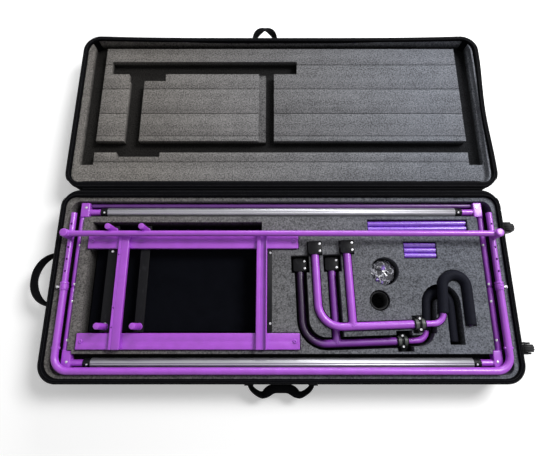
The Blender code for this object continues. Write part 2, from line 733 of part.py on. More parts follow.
def arm_frame(z, shift_x=0.0, shift_y=0.0):
    """The matrix that places an arm's plane in the case."""
    place = Matrix.Translation((UPPER_ARM_X + shift_x, UPPER_ARM_Y + shift_y, z))
    return place @ Matrix.Rotation(ARM_TILT, 4, "Z")


def placed(points, frame):
    """Points of an arm's plane as places in the case."""
    return [frame @ Vector(point) for point in points]


def arm_cutters(frame, tube_spare, grip_spare, floor):
    """Cutters that follow an arm's tube, clamps, coupling and hook down to a floor."""
    top = FOAM_TOP + CUT_OVERRUN
    reach = ARM_RADIUS + tube_spare
    grip = HOOK_GRIP_RADIUS + grip_spare
    lines = [(arm_path(), reach, tube_spare), (stub_path(), HOOK_TUBE_RADIUS + tube_spare, tube_spare),
             (hook_path(), grip, grip_spare),
             ([(ARM_SPACING, ARM_RISE, 0.0), (ARM_SPACING, 0.0, 0.0)], reach, tube_spare),
             ([(0.0, jaw_back(), 0.0), (0.0, jaw_front(), 0.0)], JAW_WIDTH / 2 + tube_spare, tube_spare),
             ([(ARM_SPACING, jaw_back(), 0.0), (ARM_SPACING, jaw_front(), 0.0)], JAW_WIDTH / 2 + tube_spare,
              tube_spare),
             ([(coupling_start(), 0.0, 0.0), (coupling_start() + COUPLING_LENGTH, 0.0, 0.0)],
              COUPLING_RADIUS + COUPLING_LUG_WIDTH + tube_spare, tube_spare)]
    return [plate([stroke(placed(points, frame), half, end)], floor, top) for points, half, end in lines]


def jaw_front():
    """The face of a top clamp that the arm's tube enters, in the arm's plane."""
    return ARM_RISE - JAW_SOCKET


def jaw_back():
    """The far face of a top clamp, where its mouth opens."""
    return jaw_front() + JAW_LENGTH


def coupling_start():
    """The face of the coupling that the arm's tube enters."""
    return ARM_REACH - COUPLING_SOCKET + GAP


def base_foam():
    """The base foam: a slab less the frame channel, the pockets, the slots and the shallow beds."""
    slab = foam_block(0.0, FOAM_TOP)
    bed = RAIL_BOTTOM - GAP
    rail_half = RAIL_WIDTH / 2 + CUSHION_SPARE
    rails = [pocket(RAIL_LEFT - CUSHION_SPARE, RAIL_RIGHT + CUSHION_SPARE, y - rail_half, y + rail_half, bed)
             for y in (RAIL_BACK_Y, RAIL_FRONT_Y)]
    board = pocket(BOARD_POCKET_LEFT, BOARD_POCKET_RIGHT, BOARD_POCKET_FRONT, BOARD_POCKET_BACK,
                   BOARD_POCKET_FLOOR)
    rounds = [round_pocket(BAG_X, BAG_Y, BAG_RADIUS + ROUND_POCKET_SPARE, ROUND_POCKET_FLOOR),
              round_pocket(RING_X, RING_Y, RING_RADIUS + ROUND_POCKET_SPARE, ROUND_POCKET_FLOOR)]
    long_half = LONG_TUBE_LENGTH / 2 + TUBE_POCKET_SPARE
    long_wide = LONG_TUBE_PITCH / 2 + LONG_TUBE_RADIUS + TUBE_POCKET_SPARE
    long_floor = FOAM_TOP - LONG_TUBE_SINK - 2 * LONG_TUBE_RADIUS - GAP
    short_half = SHORT_TUBE_LENGTH / 2 + TUBE_POCKET_SPARE
    short_wide = SHORT_TUBE_PITCH * (SHORT_TUBE_COUNT - 1) / 2 + SHORT_TUBE_RADIUS + TUBE_POCKET_SPARE
    short_floor = FOAM_TOP - SHORT_TUBE_SINK - 2 * SHORT_TUBE_RADIUS - GAP
    tubes = [pocket(LONG_TUBE_X - long_half, LONG_TUBE_X + long_half, LONG_TUBE_Y - long_wide,
                    LONG_TUBE_Y + long_wide, long_floor),
             pocket(SHORT_TUBE_X - short_half, SHORT_TUBE_X + short_half, SHORT_TUBE_Y - short_wide,
                    SHORT_TUBE_Y + short_wide, short_floor)]
    low = arm_cutters(arm_frame(LOWER_ARM_Z, LOWER_ARM_SHIFT_X, LOWER_ARM_SHIFT_Y), ARM_SLOT_SPARE,
                      ARM_SLOT_SPARE, LOWER_ARM_Z - COUPLING_RADIUS - GAP)
    high = arm_cutters(arm_frame(UPPER_ARM_Z), ARM_GROOVE_SPARE, ARM_GROOVE_SPARE,
                       UPPER_ARM_Z - COUPLING_RADIUS - GAP)
    return cut(slab, frame_channel(), *corner_pockets(), board, *rails, *rounds, *tubes, *low, *high)


def lid_slot(left, right, low, high, depth=LID_SLOT_DEPTH):
    """A cutter in the lid foam for a part of the base between two places in Y."""
    floor = LID_FOAM_TOP - depth
    return span_box((left, mirror_y(high), floor), (right, mirror_y(low), FOAM_TOP + CUT_OVERRUN))


def lid_recess():
    """The cutter of the recess in the lid foam, which leaves a thin raised liner along the walls."""
    inset = SHELL_WALL + GAP + LID_LINER
    half_length, half_depth = CASE_LENGTH / 2 - inset, CASE_DEPTH / 2 - inset
    loop = rounded_rectangle(-half_length, half_length, LID_Y - half_depth, LID_Y + half_depth,
                             SHELL_CORNER - inset)
    return plate([loop], LID_FOAM_TOP, FOAM_TOP + CUT_OVERRUN)


def lid_foam():
    """The lid foam: a slab with slots that clear what stands above the base when the lid is shut."""
    spare = 2 * CUSHION_SPARE
    outer = CHANNEL_X + spare
    rail_low, rail_high = RAIL_FRONT_Y - RAIL_WIDTH / 2 + GAP, RAIL_FRONT_Y + RAIL_WIDTH / 2 + spare
    post = POST_RADIUS + spare
    half = CHANNEL_BAR_WIDTH / 2
    bar_front, bar_back = BAR_Y - FITTING_RADIUS - spare * 2, BAR_Y + FITTING_RADIUS + spare
    angle_left = CHANNEL_BAR_RIGHT_X + CHANNEL_BAR_WIDTH / 4
    side_end = BLOCK_BACK - LID_SIDE_SLOT_SHORT
    front_end = STAND_FRONT_Y + LID_FRONT_SLOT_SPARE
    slots = [lid_slot(-outer, -CORNER_BLOCK_X, CHANNEL_FRONT - spare, side_end),
             lid_slot(CORNER_BLOCK_X, outer, CHANNEL_FRONT - spare, side_end),
             lid_slot(-outer, outer, CHANNEL_FRONT - spare, front_end),
             lid_slot(-outer, outer, bar_front, bar_back),
             lid_slot(RAIL_LEFT - spare, RAIL_RIGHT + spare, rail_low, rail_high),
             lid_slot(POST_LEFT_X - post, POST_RIGHT_X + post, rail_high - spare, POST_FRONT_Y + post,
                      LID_POST_DEPTH),
             lid_slot(POST_LEFT_X - post * 2, POST_RIGHT_X + post, BAR_Y, POST_BACK_Y + post),
             lid_slot(POST_LEFT_X - POST_RADIUS, CHANNEL_BAR_LEFT_X, rail_low, BAR_Y),
             lid_slot(CHANNEL_BAR_RIGHT_X - half - GAP, angle_left, rail_low, BAR_Y, LID_SHALLOW_DEPTH),
             lid_slot(angle_left - GAP, CHANNEL_BAR_RIGHT_X + half + ANGLE_LEG + spare, rail_low, BAR_Y)]
    return cut(foam_block(LID_Y, FOAM_TOP), lid_recess(), *slots)


def strap(across, out, path_steps=STRAP_STEPS):
    """A flat webbing arch in its own plane: half an ellipse, ends on the X axis, standing out along -Y."""
    points = []
    for step in range(path_steps + 1):
        angle = math.pi * step / path_steps
        points.append((across / 2 * math.cos(angle), -(out - STRAP_WIDTH / 2) * math.sin(angle)))
    shape = plate([stroke(points, STRAP_WIDTH / 2)], -STRAP_THICKNESS / 2, STRAP_THICKNESS / 2)
    trim = STRAP_WIDTH
    behind = span_box((-across, -STRAP_WALL_SPARE, -trim), (across, across, trim))
    return cut(shape, behind)


def side_handle(root):
    """The webbing handle on the left end."""
    point = (-CASE_LENGTH / 2 - STRAP_THICKNESS / 2 - STRAP_WALL_SPARE, SIDE_HANDLE_Y, SIDE_HANDLE_Z)
    axis = make_axis("side_handle_axis", point, root)
    shape = strap(SIDE_HANDLE_SPAN, SIDE_HANDLE_OUT)
    shape.location = point
    shape.rotation_euler = (0.0, 0.0, -math.pi / 2)
    name_part(shape, "side_handle", WEBBING, axis)


def long_handle(name, root, x, wall_y, outward, span, out):
    """A webbing handle on a long side, drooping from where it is sewn."""
    point = (x, wall_y + outward * (STRAP_THICKNESS / 2 + STRAP_WALL_SPARE), LONG_HANDLE_Z)
    axis = make_axis(name + "_axis", point, root)
    shape = strap(span, out)
    shape.location = point
    turn = 0.0 if outward < 0 else math.pi
    shape.rotation_euler = (FRONT_HANDLE_DROOP, 0.0, turn)
    name_part(shape, name, WEBBING, axis)


def wheel_set(tag, y, root):
    """A wheel with its axle in a fork on the right end."""
    wall = CASE_LENGTH / 2 + GAP
    x = CASE_LENGTH / 2 + WHEEL_OUT
    inner = WHEEL_WIDTH / 2 + FORK_SIDE_GAP
    outer = inner + FORK_ARM
    root_x, tip_x = wall + FORK_PLATE / 2, x + FORK_PAST_AXLE
    fork = box((FORK_PLATE, 2 * (outer + FORK_EDGE), FORK_PLATE_HEIGHT),
               (root_x, y, FORK_PLATE_HEIGHT / 2 + FORK_EDGE), around=FORK_EDGE)
    arms = [box((tip_x - root_x, FORK_ARM, FORK_HEIGHT),
                ((tip_x + root_x) / 2, y + side * (inner + FORK_ARM / 2), WHEEL_Z), around=FORK_EDGE / 2)
            for side in (-1, 1)]
    fork = join(fork, *arms)
    fork = cut(fork, rod(AXLE_RADIUS + AXLE_FIT, (x, y - 2 * outer, WHEEL_Z), (x, y + 2 * outer, WHEEL_Z),
                         SMALL_SIDES))
    name_part(fork, "wheel_bracket_" + tag, BLACK_PLASTIC, root)
    axis = make_axis("wheel_axis_" + tag, (x, y, WHEEL_Z), root)
    pin = rod(AXLE_RADIUS, (x, y - outer, WHEEL_Z), (x, y + outer, WHEEL_Z), SMALL_SIDES)
    name_part(pin, "wheel_axle_" + tag, STEEL, root)
    half, bore, soft = WHEEL_WIDTH / 2, AXLE_RADIUS + AXLE_FIT * 2, WHEEL_TREAD_ROUND
    profile = [(bore, half), (WHEEL_RADIUS - soft, half), (WHEEL_RADIUS, half - soft),
               (WHEEL_RADIUS, soft - half), (WHEEL_RADIUS - soft, -half), (bore, -half)]
    name_part(turned(profile, (x, y, WHEEL_Z), (0, 1, 0), ring=True), "wheel_" + tag, BLACK_RUBBER, axis)


def roller_side_rail(side):
    """One side of the roller frame: a tube with corner blocks, roller sockets and stub axles welded on."""
    ends = ((ROLLER_FRONT_Y, FRONT_BLOCK_OFFSET), (ROLLER_BACK_Y, BACK_BLOCK_OFFSET))
    rail = rod(SIDE_TUBE_RADIUS, (side * SIDE_TUBE_X, ROLLER_FRONT_Y + FRONT_BLOCK_OFFSET, ROLLER_Z),
               (side * SIDE_TUBE_X, ROLLER_BACK_Y, ROLLER_Z))
    face = CORNER_BLOCK_X - CORNER_BLOCK_WIDTH / 2
    stub_end = ROLLER_LENGTH / 2 - BUSHING_SPIGOT / 2
    for y, offset in ends:
        block = box((CORNER_BLOCK_WIDTH, CORNER_BLOCK_LENGTH, CORNER_BLOCK_HEIGHT),
                    (side * CORNER_BLOCK_X, y + offset, ROLLER_Z), around=CORNER_BLOCK_EDGE)
        socket = rod(SOCKET_RADIUS, (side * CORNER_BLOCK_X, y, ROLLER_Z),
                     (side * (BUSHING_FACE + GAP), y, ROLLER_Z))
        stub = rod(STUB_RADIUS, (side * face, y, ROLLER_Z), (side * stub_end, y, ROLLER_Z), SMALL_SIDES)
        rail = join(rail, block, socket, stub)
    return rail


def bushing(side, y):
    """A flanged bushing that plugs a roller's end and turns on the stub axle."""
    inside = ROLLER_RADIUS - ROLLER_WALL - GAP
    bore = STUB_RADIUS + STUB_FIT
    cut_back = BUSHING_CHAMFER
    profile = [(bore, BUSHING_FLANGE), (ROLLER_RADIUS - cut_back, BUSHING_FLANGE),
               (ROLLER_RADIUS, BUSHING_FLANGE - cut_back), (ROLLER_RADIUS, 0.0), (inside, 0.0),
               (inside, -BUSHING_SPIGOT), (bore, -BUSHING_SPIGOT)]
    place = (side * (ROLLER_LENGTH / 2 + GAP), y, ROLLER_Z)
    return turned(profile, place, (side, 0, 0), ROUND_SIDES, ring=True)


def roller_set(tag, y, frame):
    """A silver roller tube and its two bushings, turning about the roller's own axis."""
    axis = make_axis("roller_axis_" + tag, (0.0, y, ROLLER_Z), frame)
    half = ROLLER_LENGTH / 2
    name_part(pipe(ROLLER_RADIUS, ROLLER_WALL, (-half, y, ROLLER_Z), (half, y, ROLLER_Z), FINE_SIDES),
              "roller_" + tag, SILVER, axis)
    for side, word in ((-1, "left"), (1, "right")):
        name_part(bushing(side, y), "bushing_" + tag + "_" + word, BLACK_PLASTIC, axis)


def roller_frame(root):
    """The roller frame, which lifts out of the channel with its two rollers."""
    frame = make_axis("roller_frame_lift", (0.0, 0.0, ROLLER_Z), root)
    for side, word in ((-1, "left"), (1, "right")):
        name_part(roller_side_rail(side), "roller_rail_" + word, PURPLE, frame)
    y = ROLLER_BACK_Y + ROLLER_RADIUS + SPREADER_SPARE + SPREADER_RADIUS
    z = ROLLER_Z - SPREADER_DROP
    reach = CORNER_BLOCK_X - CORNER_BLOCK_WIDTH / 2 - GAP
    name_part(rod(SPREADER_RADIUS, (-reach, y, z), (reach, y, z)), "spreader_bar", PURPLE, frame)
    roller_set("back", ROLLER_BACK_Y, frame)
    roller_set("front", ROLLER_FRONT_Y, frame)
    return frame


def platform_rail(y):
    """A flat rail with a hole near each end."""
    rail = box((RAIL_RIGHT - RAIL_LEFT, RAIL_WIDTH, RAIL_HEIGHT),
               ((RAIL_RIGHT + RAIL_LEFT) / 2, y, RAIL_BOTTOM + RAIL_HEIGHT / 2), around=RAIL_EDGE)
    holes = []
    for x in (RAIL_LEFT + RAIL_HOLE_INSET, RAIL_RIGHT - RAIL_HOLE_INSET):
        holes.append(rod(RAIL_HOLE_RADIUS, (x, y, RAIL_BOTTOM - CUT_OVERRUN), (x, y, RAIL_TOP + CUT_OVERRUN),
                         SMALL_SIDES))
    return cut(rail, *holes)


def cross_channel(x):
    """A channel laid across both rails, open underneath."""
    front = RAIL_FRONT_Y - RAIL_WIDTH / 2
    back = RAIL_BACK_Y + RAIL_WIDTH / 2
    bar = box((CHANNEL_BAR_WIDTH, back - front, CHANNEL_BAR_HEIGHT), (x, (back + front) / 2, CHANNEL_BAR_Z),
              around=RAIL_EDGE)
    half = CHANNEL_BAR_WIDTH / 2 - CHANNEL_BAR_WALL
    top = CHANNEL_BAR_Z + CHANNEL_BAR_HEIGHT / 2 - CHANNEL_BAR_WALL
    hollow = span_box((x - half, front - CUT_OVERRUN, RAIL_TOP - CUT_OVERRUN),
                      (x + half, back + CUT_OVERRUN, top))
    return cut(bar, hollow)


def post_strip(x):
    """A black strip under the rails that carries two round posts."""
    top = RAIL_BOTTOM - GAP
    front, back = POST_FRONT_Y - POST_STRIP_END, POST_BACK_Y + POST_STRIP_END
    strip = box((POST_STRIP_WIDTH, back - front, POST_STRIP_HEIGHT),
                (x, (back + front) / 2, top - POST_STRIP_HEIGHT / 2))
    posts = []
    for y in (POST_FRONT_Y, POST_BACK_Y):
        profile = [(0.0, POST_HEIGHT), (POST_RADIUS - POST_DOME, POST_HEIGHT),
                   (POST_RADIUS, POST_HEIGHT - POST_DOME), (POST_RADIUS, -POST_STRIP_HEIGHT / 2),
                   (0.0, -POST_STRIP_HEIGHT / 2)]
        posts.append(turned(profile, (x, y, top), (0, 0, 1), ROUND_SIDES))
    return join(strip, *posts)


def angle_strip():
    """The black angle along the right channel, between the rails."""
    wall = CHANNEL_BAR_RIGHT_X + CHANNEL_BAR_WIDTH / 2 + GAP
    front = RAIL_FRONT_Y + RAIL_WIDTH / 2 + ANGLE_END_SPARE
    back = RAIL_BACK_Y - RAIL_WIDTH / 2 - ANGLE_END_SPARE
    foot = FOAM_TOP + GAP
    top = CHANNEL_BAR_Z + CHANNEL_BAR_HEIGHT / 2 - CHANNEL_BAR_WALL
    flat = span_box((wall, front, foot), (wall + ANGLE_LEG, back, foot + ANGLE_WALL))
    upright = span_box((wall, front, foot), (wall + ANGLE_WALL, back, top))
    return join(flat, upright)


def platform(parent):
    """The platform frame, which lifts off the board with its posts."""
    frame = make_axis("platform_lift", (0.0, 0.0, RAIL_BOTTOM), parent)
    name_part(platform_rail(RAIL_BACK_Y), "platform_rail_back", PURPLE, frame)
    name_part(platform_rail(RAIL_FRONT_Y), "platform_rail_front", PURPLE, frame)
    name_part(cross_channel(CHANNEL_BAR_LEFT_X), "cross_channel_left", PURPLE, frame)
    name_part(cross_channel(CHANNEL_BAR_RIGHT_X), "cross_channel_right", PURPLE, frame)
    name_part(post_strip(POST_LEFT_X), "post_strip_left", BLACK_PLASTIC, frame)
    name_part(post_strip(POST_RIGHT_X), "post_strip_right", BLACK_PLASTIC, frame)
    name_part(angle_strip(), "angle_strip", BLACK_PLASTIC, frame)
    return frame


def board(parent):
    """The cloth-covered board on the floor of the deep pocket."""
    axis = make_axis("board_lift", (0.0, 0.0, BOARD_POCKET_FLOOR), parent)
    size = (BOARD_POCKET_RIGHT - BOARD_POCKET_LEFT - 2 * BOARD_SPARE,
            BOARD_POCKET_BACK - BOARD_POCKET_FRONT - 2 * BOARD_SPARE, BOARD_THICKNESS)
    centre = ((BOARD_POCKET_RIGHT + BOARD_POCKET_LEFT) / 2, (BOARD_POCKET_BACK + BOARD_POCKET_FRONT) / 2,
              BOARD_POCKET_FLOOR + GAP + BOARD_THICKNESS / 2)
    name_part(box(size, centre, upright=BOARD_EDGE, around=BOARD_EDGE / 2), "board", BOARD_CLOTH, axis)
    return axis


def stand_tube():
    """The outer U tube, bored from both ends for the sliding legs."""
    corners = [(-STAND_X, STAND_END_Y, STAND_Z), (-STAND_X, STAND_FRONT_Y, STAND_Z),
               (STAND_X, STAND_FRONT_Y, STAND_Z), (STAND_X, STAND_END_Y, STAND_Z)]
    tube = swept(filleted(corners, STAND_BEND), STAND_RADIUS)
    bores = [rod(STAND_BORE, (side * STAND_X, STAND_END_Y - STAND_BORE_DEPTH, STAND_Z),
                 (side * STAND_X, STAND_END_Y + CUT_OVERRUN, STAND_Z)) for side in (-1, 1)]
    return cut(tube, *bores)


def collar(side):
    """A height collar: it grips the outer tube's end and narrows to the leg."""
    wide, narrow, soft = STAND_RADIUS + GAP, LEG_RADIUS + GAP, COLLAR_CHAMFER
    profile = [(narrow, COLLAR_LIP), (COLLAR_RADIUS - soft, COLLAR_LIP), (COLLAR_RADIUS, COLLAR_LIP - soft),
               (COLLAR_RADIUS, soft - COLLAR_FRONT), (COLLAR_RADIUS - soft, -COLLAR_FRONT),
               (wide, -COLLAR_FRONT), (wide, GAP), (narrow, GAP)]
    return turned(profile, (side * STAND_X, STAND_END_Y, STAND_Z), (0, 1, 0), ROUND_SIDES, ring=True)


def plunger(side):
    """The pull knob on a collar's outer side."""
    length, head = PLUNGER_LENGTH, PLUNGER_LENGTH - PLUNGER_HEAD_LENGTH
    profile = [(0.0, length), (PLUNGER_HEAD, length), (PLUNGER_HEAD, head), (PLUNGER_RADIUS, head),
               (PLUNGER_RADIUS, 0.0), (0.0, 0.0)]
    return turned(profile, plunger_place(side), (side, 0, 0), ROUND_SIDES)


def plunger_place(side):
    """The foot of a plunger on its collar."""
    return (side * (STAND_X + COLLAR_RADIUS + GAP), STAND_END_Y - COLLAR_FRONT / 2, STAND_Z)


def inner_leg(side):
    """A sliding leg: a tube with a row of height holes through it."""
    x = side * STAND_X
    leg = pipe(LEG_RADIUS, LEG_WALL, (x, STAND_END_Y - LEG_OVERLAP, STAND_Z), (x, LEG_TIP_Y, STAND_Z))
    holes = []
    for index in range(LEG_HOLE_COUNT):
        y = LEG_FIRST_HOLE_Y + index * LEG_HOLE_PITCH
        holes.append(rod(LEG_HOLE_RADIUS, (x, y, STAND_Z - CUT_OVERRUN), (x, y, STAND_Z + CUT_OVERRUN),
                         SMALL_SIDES))
    return cut(leg, *holes)


def cross_bar():
    """The bar over both legs, with an upright fitting at each end."""
    bar = rod(BAR_RADIUS, (-STAND_X, BAR_Y, BAR_Z), (STAND_X, BAR_Y, BAR_Z))
    fittings = [rod(FITTING_RADIUS, (side * STAND_X, BAR_Y, FITTING_BOTTOM),
                    (side * STAND_X, BAR_Y, FITTING_TOP), FINE_SIDES) for side in (-1, 1)]
    return join(bar, *fittings)


def end_knob(side):
    """The knob that screws a fitting down on its leg."""
    profile = [(0.0, KNOB_HEIGHT), (KNOB_RADIUS - KNOB_DOME, KNOB_HEIGHT),
               (KNOB_RADIUS, KNOB_HEIGHT - KNOB_DOME), (KNOB_RADIUS, 0.0), (0.0, 0.0)]
    return turned(profile, knob_place(side), (0, 0, 1))


def knob_place(side):
    """The foot of an end knob on its fitting."""
    return (side * STAND_X, BAR_Y, FITTING_TOP + GAP)


def stand(parent):
    """The stand, which lifts off everything else, with its legs sliding in it."""
    frame = make_axis("stand_lift", (0.0, 0.0, STAND_Z), parent)
    name_part(stand_tube(), "stand_tube", PURPLE, frame)
    slide = make_axis("leg_slide", (0.0, STAND_END_Y, STAND_Z), frame)
    name_part(cross_bar(), "cross_bar", PURPLE, slide)
    for side, word in ((-1, "left"), (1, "right")):
        name_part(collar(side), "collar_" + word, PURPLE, frame)
        pull = make_axis("plunger_axis_" + word, plunger_place(side), frame)
        name_part(plunger(side), "plunger_" + word, STEEL, pull)
        name_part(inner_leg(side), "inner_leg_" + word, PURPLE, slide)
        spin = make_axis("end_knob_axis_" + word, knob_place(side), slide)
        name_part(end_knob(side), "end_knob_" + word, PURPLE, spin)


def welded_arm(frame):
    """The arm's bent main tube with the second tube welded to it."""
    main = swept(placed(arm_path(), frame), ARM_RADIUS)
    second = rod(ARM_RADIUS, frame @ Vector((ARM_SPACING, ARM_RISE, 0.0)),
                 frame @ Vector((ARM_SPACING, 0.0, 0.0)))
    return join(main, second)


def top_clamp(frame, x):
    """A clamp on an arm tube's end: a block with a tube socket and a jaw that is open to the back."""
    middle = (jaw_front() + jaw_back()) / 2
    place = frame @ Matrix.Translation((x, middle, 0.0))
    body = box((JAW_WIDTH, JAW_LENGTH, JAW_HEIGHT), (0, 0, 0), upright=JAW_EDGE, steps=1)
    reach = JAW_WIDTH / 2 + CUT_OVERRUN
    jaw = rod(JAW_RADIUS, (-reach, JAW_FORWARD, 0.0), (reach, JAW_FORWARD, 0.0))
    mouth = span_box((-reach, JAW_FORWARD, -JAW_MOUTH / 2), (reach, JAW_LENGTH, JAW_MOUTH / 2))
    face = -JAW_LENGTH / 2
    socket = rod(ARM_RADIUS + GAP, (0.0, face - CUT_OVERRUN, 0.0), (0.0, face + JAW_SOCKET + GAP, 0.0))
    body = cut(body, jaw, mouth, socket)
    body.matrix_world = place
    return body


def coupling(frame):
    """The coupling on the arm's end: a grooved sleeve with two bolt lugs, socketed at both ends."""
    start = coupling_start()
    half, groove = COUPLING_LENGTH / 2, COUPLING_GROOVE_WIDTH / 2
    inner = COUPLING_RADIUS - COUPLING_GROOVE
    profile = [(0.0, half), (COUPLING_RADIUS, half), (COUPLING_RADIUS, groove), (inner, groove),
               (inner, -groove), (COUPLING_RADIUS, -groove), (COUPLING_RADIUS, -half), (0.0, -half)]
    sleeve = turned(profile, (start + half, 0.0, 0.0), (1, 0, 0), ROUND_SIDES)
    lugs = [box((COUPLING_LUG_LENGTH, COUPLING_LUG_WIDTH + COUPLING_RADIUS / 2, COUPLING_LUG_HEIGHT),
                (start + half, side * (COUPLING_RADIUS * 3 / 4 + COUPLING_LUG_WIDTH / 2), 0.0),
                around=RAIL_EDGE) for side in (-1, 1)]
    sleeve = join(sleeve, *lugs)
    left = rod(ARM_RADIUS + GAP, (start - CUT_OVERRUN, 0.0, 0.0), (start + COUPLING_SOCKET, 0.0, 0.0))
    right = rod(HOOK_TUBE_RADIUS + GAP, (start + COUPLING_LENGTH - COUPLING_SOCKET, 0.0, 0.0),
                (start + COUPLING_LENGTH + CUT_OVERRUN, 0.0, 0.0))
    sleeve = cut(sleeve, left, right)
    sleeve.matrix_world = frame @ sleeve.matrix_world
    return sleeve


def hook_core(frame):
    """The bent tube in the hook with its stub to the coupling."""
    path = stub_path() + hook_path()[1:-1] + [far_leg(HOOK_FAR_END_Y + HOOK_CORE_INSET)]
    return swept(placed(path, frame), HOOK_TUBE_RADIUS, HOOK_SIDES)


def hook_grip(frame):
    """The foam sleeve of the hook, bored right through for the bent tube."""
    bore = swept(placed(hook_path(CUT_OVERRUN), frame), HOOK_TUBE_RADIUS + HOOK_BORE_SPARE, HOOK_SIDES)
    return cut(swept(placed(hook_path(), frame), HOOK_GRIP_RADIUS, ROUND_SIDES), bore)


def arm(tag, frame, parent):
    """One arm with its clamps, coupling and padded hook."""
    axis = make_axis(tag + "_arm_lift", frame.translation, parent, ARM_TILT)
    name_part(welded_arm(frame), tag + "_arm_tube", PURPLE, axis)
    name_part(top_clamp(frame, 0.0), tag + "_clamp_left", BLACK_PLASTIC, axis)
    name_part(top_clamp(frame, ARM_SPACING), tag + "_clamp_right", BLACK_PLASTIC, axis)
    name_part(coupling(frame), tag + "_coupling", BLACK_PLASTIC, axis)
    name_part(hook_core(frame), tag + "_hook_tube", PURPLE, axis)
    name_part(hook_grip(frame), tag + "_hook_grip", GRIP_FOAM, axis)
    return axis


def loose_tubes(root):
    """The long and short spare tubes in their pockets."""
    z = FOAM_TOP - LONG_TUBE_SINK - LONG_TUBE_RADIUS
    axis = make_axis("long_tubes_lift", (LONG_TUBE_X, LONG_TUBE_Y, z), root)
    along = Vector((math.cos(LONG_TUBE_SKEW), math.sin(LONG_TUBE_SKEW), 0.0)) * (LONG_TUBE_LENGTH / 2)
    for step, word in ((-0.5, "front"), (0.5, "back")):
        centre = Vector((LONG_TUBE_X, LONG_TUBE_Y + step * LONG_TUBE_PITCH, z))
        tube = pipe(LONG_TUBE_RADIUS, LOOSE_TUBE_WALL, centre - along, centre + along)
        name_part(tube, "long_tube_" + word, VIOLET, axis)
    z = FOAM_TOP - SHORT_TUBE_SINK - SHORT_TUBE_RADIUS
    axis = make_axis("short_tubes_lift", (SHORT_TUBE_X, SHORT_TUBE_Y, z), root)
    half = SHORT_TUBE_LENGTH / 2
    for index in range(SHORT_TUBE_COUNT):
        y = SHORT_TUBE_Y + (index - (SHORT_TUBE_COUNT - 1) / 2) * SHORT_TUBE_PITCH
        ends = [(SHORT_TUBE_X + side * half, y, z) for side in (-1, 1)]
        tube = pipe(SHORT_TUBE_RADIUS, LOOSE_TUBE_WALL, *ends)
        name_part(tube, "short_tube_" + str(index + 1), VIOLET, axis)


def ring_and_bag(root):
    """The black ring and the bag of hardware in the round pockets."""
    z = ROUND_POCKET_FLOOR + GAP
    soft, inside = RING_EDGE, RING_RADIUS - RING_WALL
    profile = [(inside, RING_HEIGHT), (RING_RADIUS - soft, RING_HEIGHT), (RING_RADIUS, RING_HEIGHT - soft),
               (RING_RADIUS, 0.0), (inside, 0.0)]
    axis = make_axis("ring_lift", (RING_X, RING_Y, z), root)
    name_part(turned(profile, (RING_X, RING_Y, z), (0, 0, 1), ring=True), "spare_ring", BLACK_RUBBER, axis)
    axis = make_axis("bag_lift", (BAG_X, BAG_Y, z), root)
    shape = [(BAG_RADIUS * out, BAG_HEIGHT * up) for out, up in BAG_PROFILE_SHARES]
    name_part(turned(shape, (BAG_X, BAG_Y, z), (0, 0, 1), ROUND_SIDES), "hardware_bag", CLEAR_FILM, axis)


def main():
    """Build the case, then each layer of what it holds, from the lowest up."""
    root = make_axis("case_base", (0.0, 0.0, 0.0))
    name_part(case_shell(0.0, 1), "base_shell", SHELL_CLOTH, root)
    name_part(base_foam(), "base_foam", FOAM_GREY, root)
    hinge = make_axis("lid_hinge", (0.0, HINGE_Y, CLOSING_HEIGHT), root)
    name_part(case_shell(LID_Y, -1), "lid_shell", SHELL_CLOTH, hinge)
    name_part(lid_foam(), "lid_foam", FOAM_GREY, hinge)
    side_handle(root)
    front, back = -CASE_DEPTH / 2, LID_Y + CASE_DEPTH / 2
    long_handle("front_handle", root, FRONT_HANDLE_X, front, -1, FRONT_HANDLE_SPAN, FRONT_HANDLE_OUT)
    long_handle("lid_handle", hinge, LID_HANDLE_X, back, 1, LID_HANDLE_SPAN, LID_HANDLE_OUT)
    wheel_set("back", WHEEL_BACK_Y, root)
    wheel_set("front", WHEEL_FRONT_Y, root)
    rollers = roller_frame(root)
    stand(platform(board(rollers)))
    low = arm("lower", arm_frame(LOWER_ARM_Z, LOWER_ARM_SHIFT_X, LOWER_ARM_SHIFT_Y), root)
    arm("upper", arm_frame(UPPER_ARM_Z), low)
    loose_tubes(root)
    ring_and_bag(root)


main()
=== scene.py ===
"""Looks of a quilting frame that lies taken down in its open, wheeled, soft-sided case.

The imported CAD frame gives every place. Lengths are in metres. X runs along the case to its wheels, Y back
to the hinge and Z up. Each class is one sub-assembly. Its fields are its sizes, and its methods work out the
surfaces with numpy, as a function of two parameters or a profile along a path, and dress them. Nothing is
simulated.
"""

import json
import logging
import math
from dataclasses import dataclass
from enum import Enum
from typing import Any, Iterable, Sequence

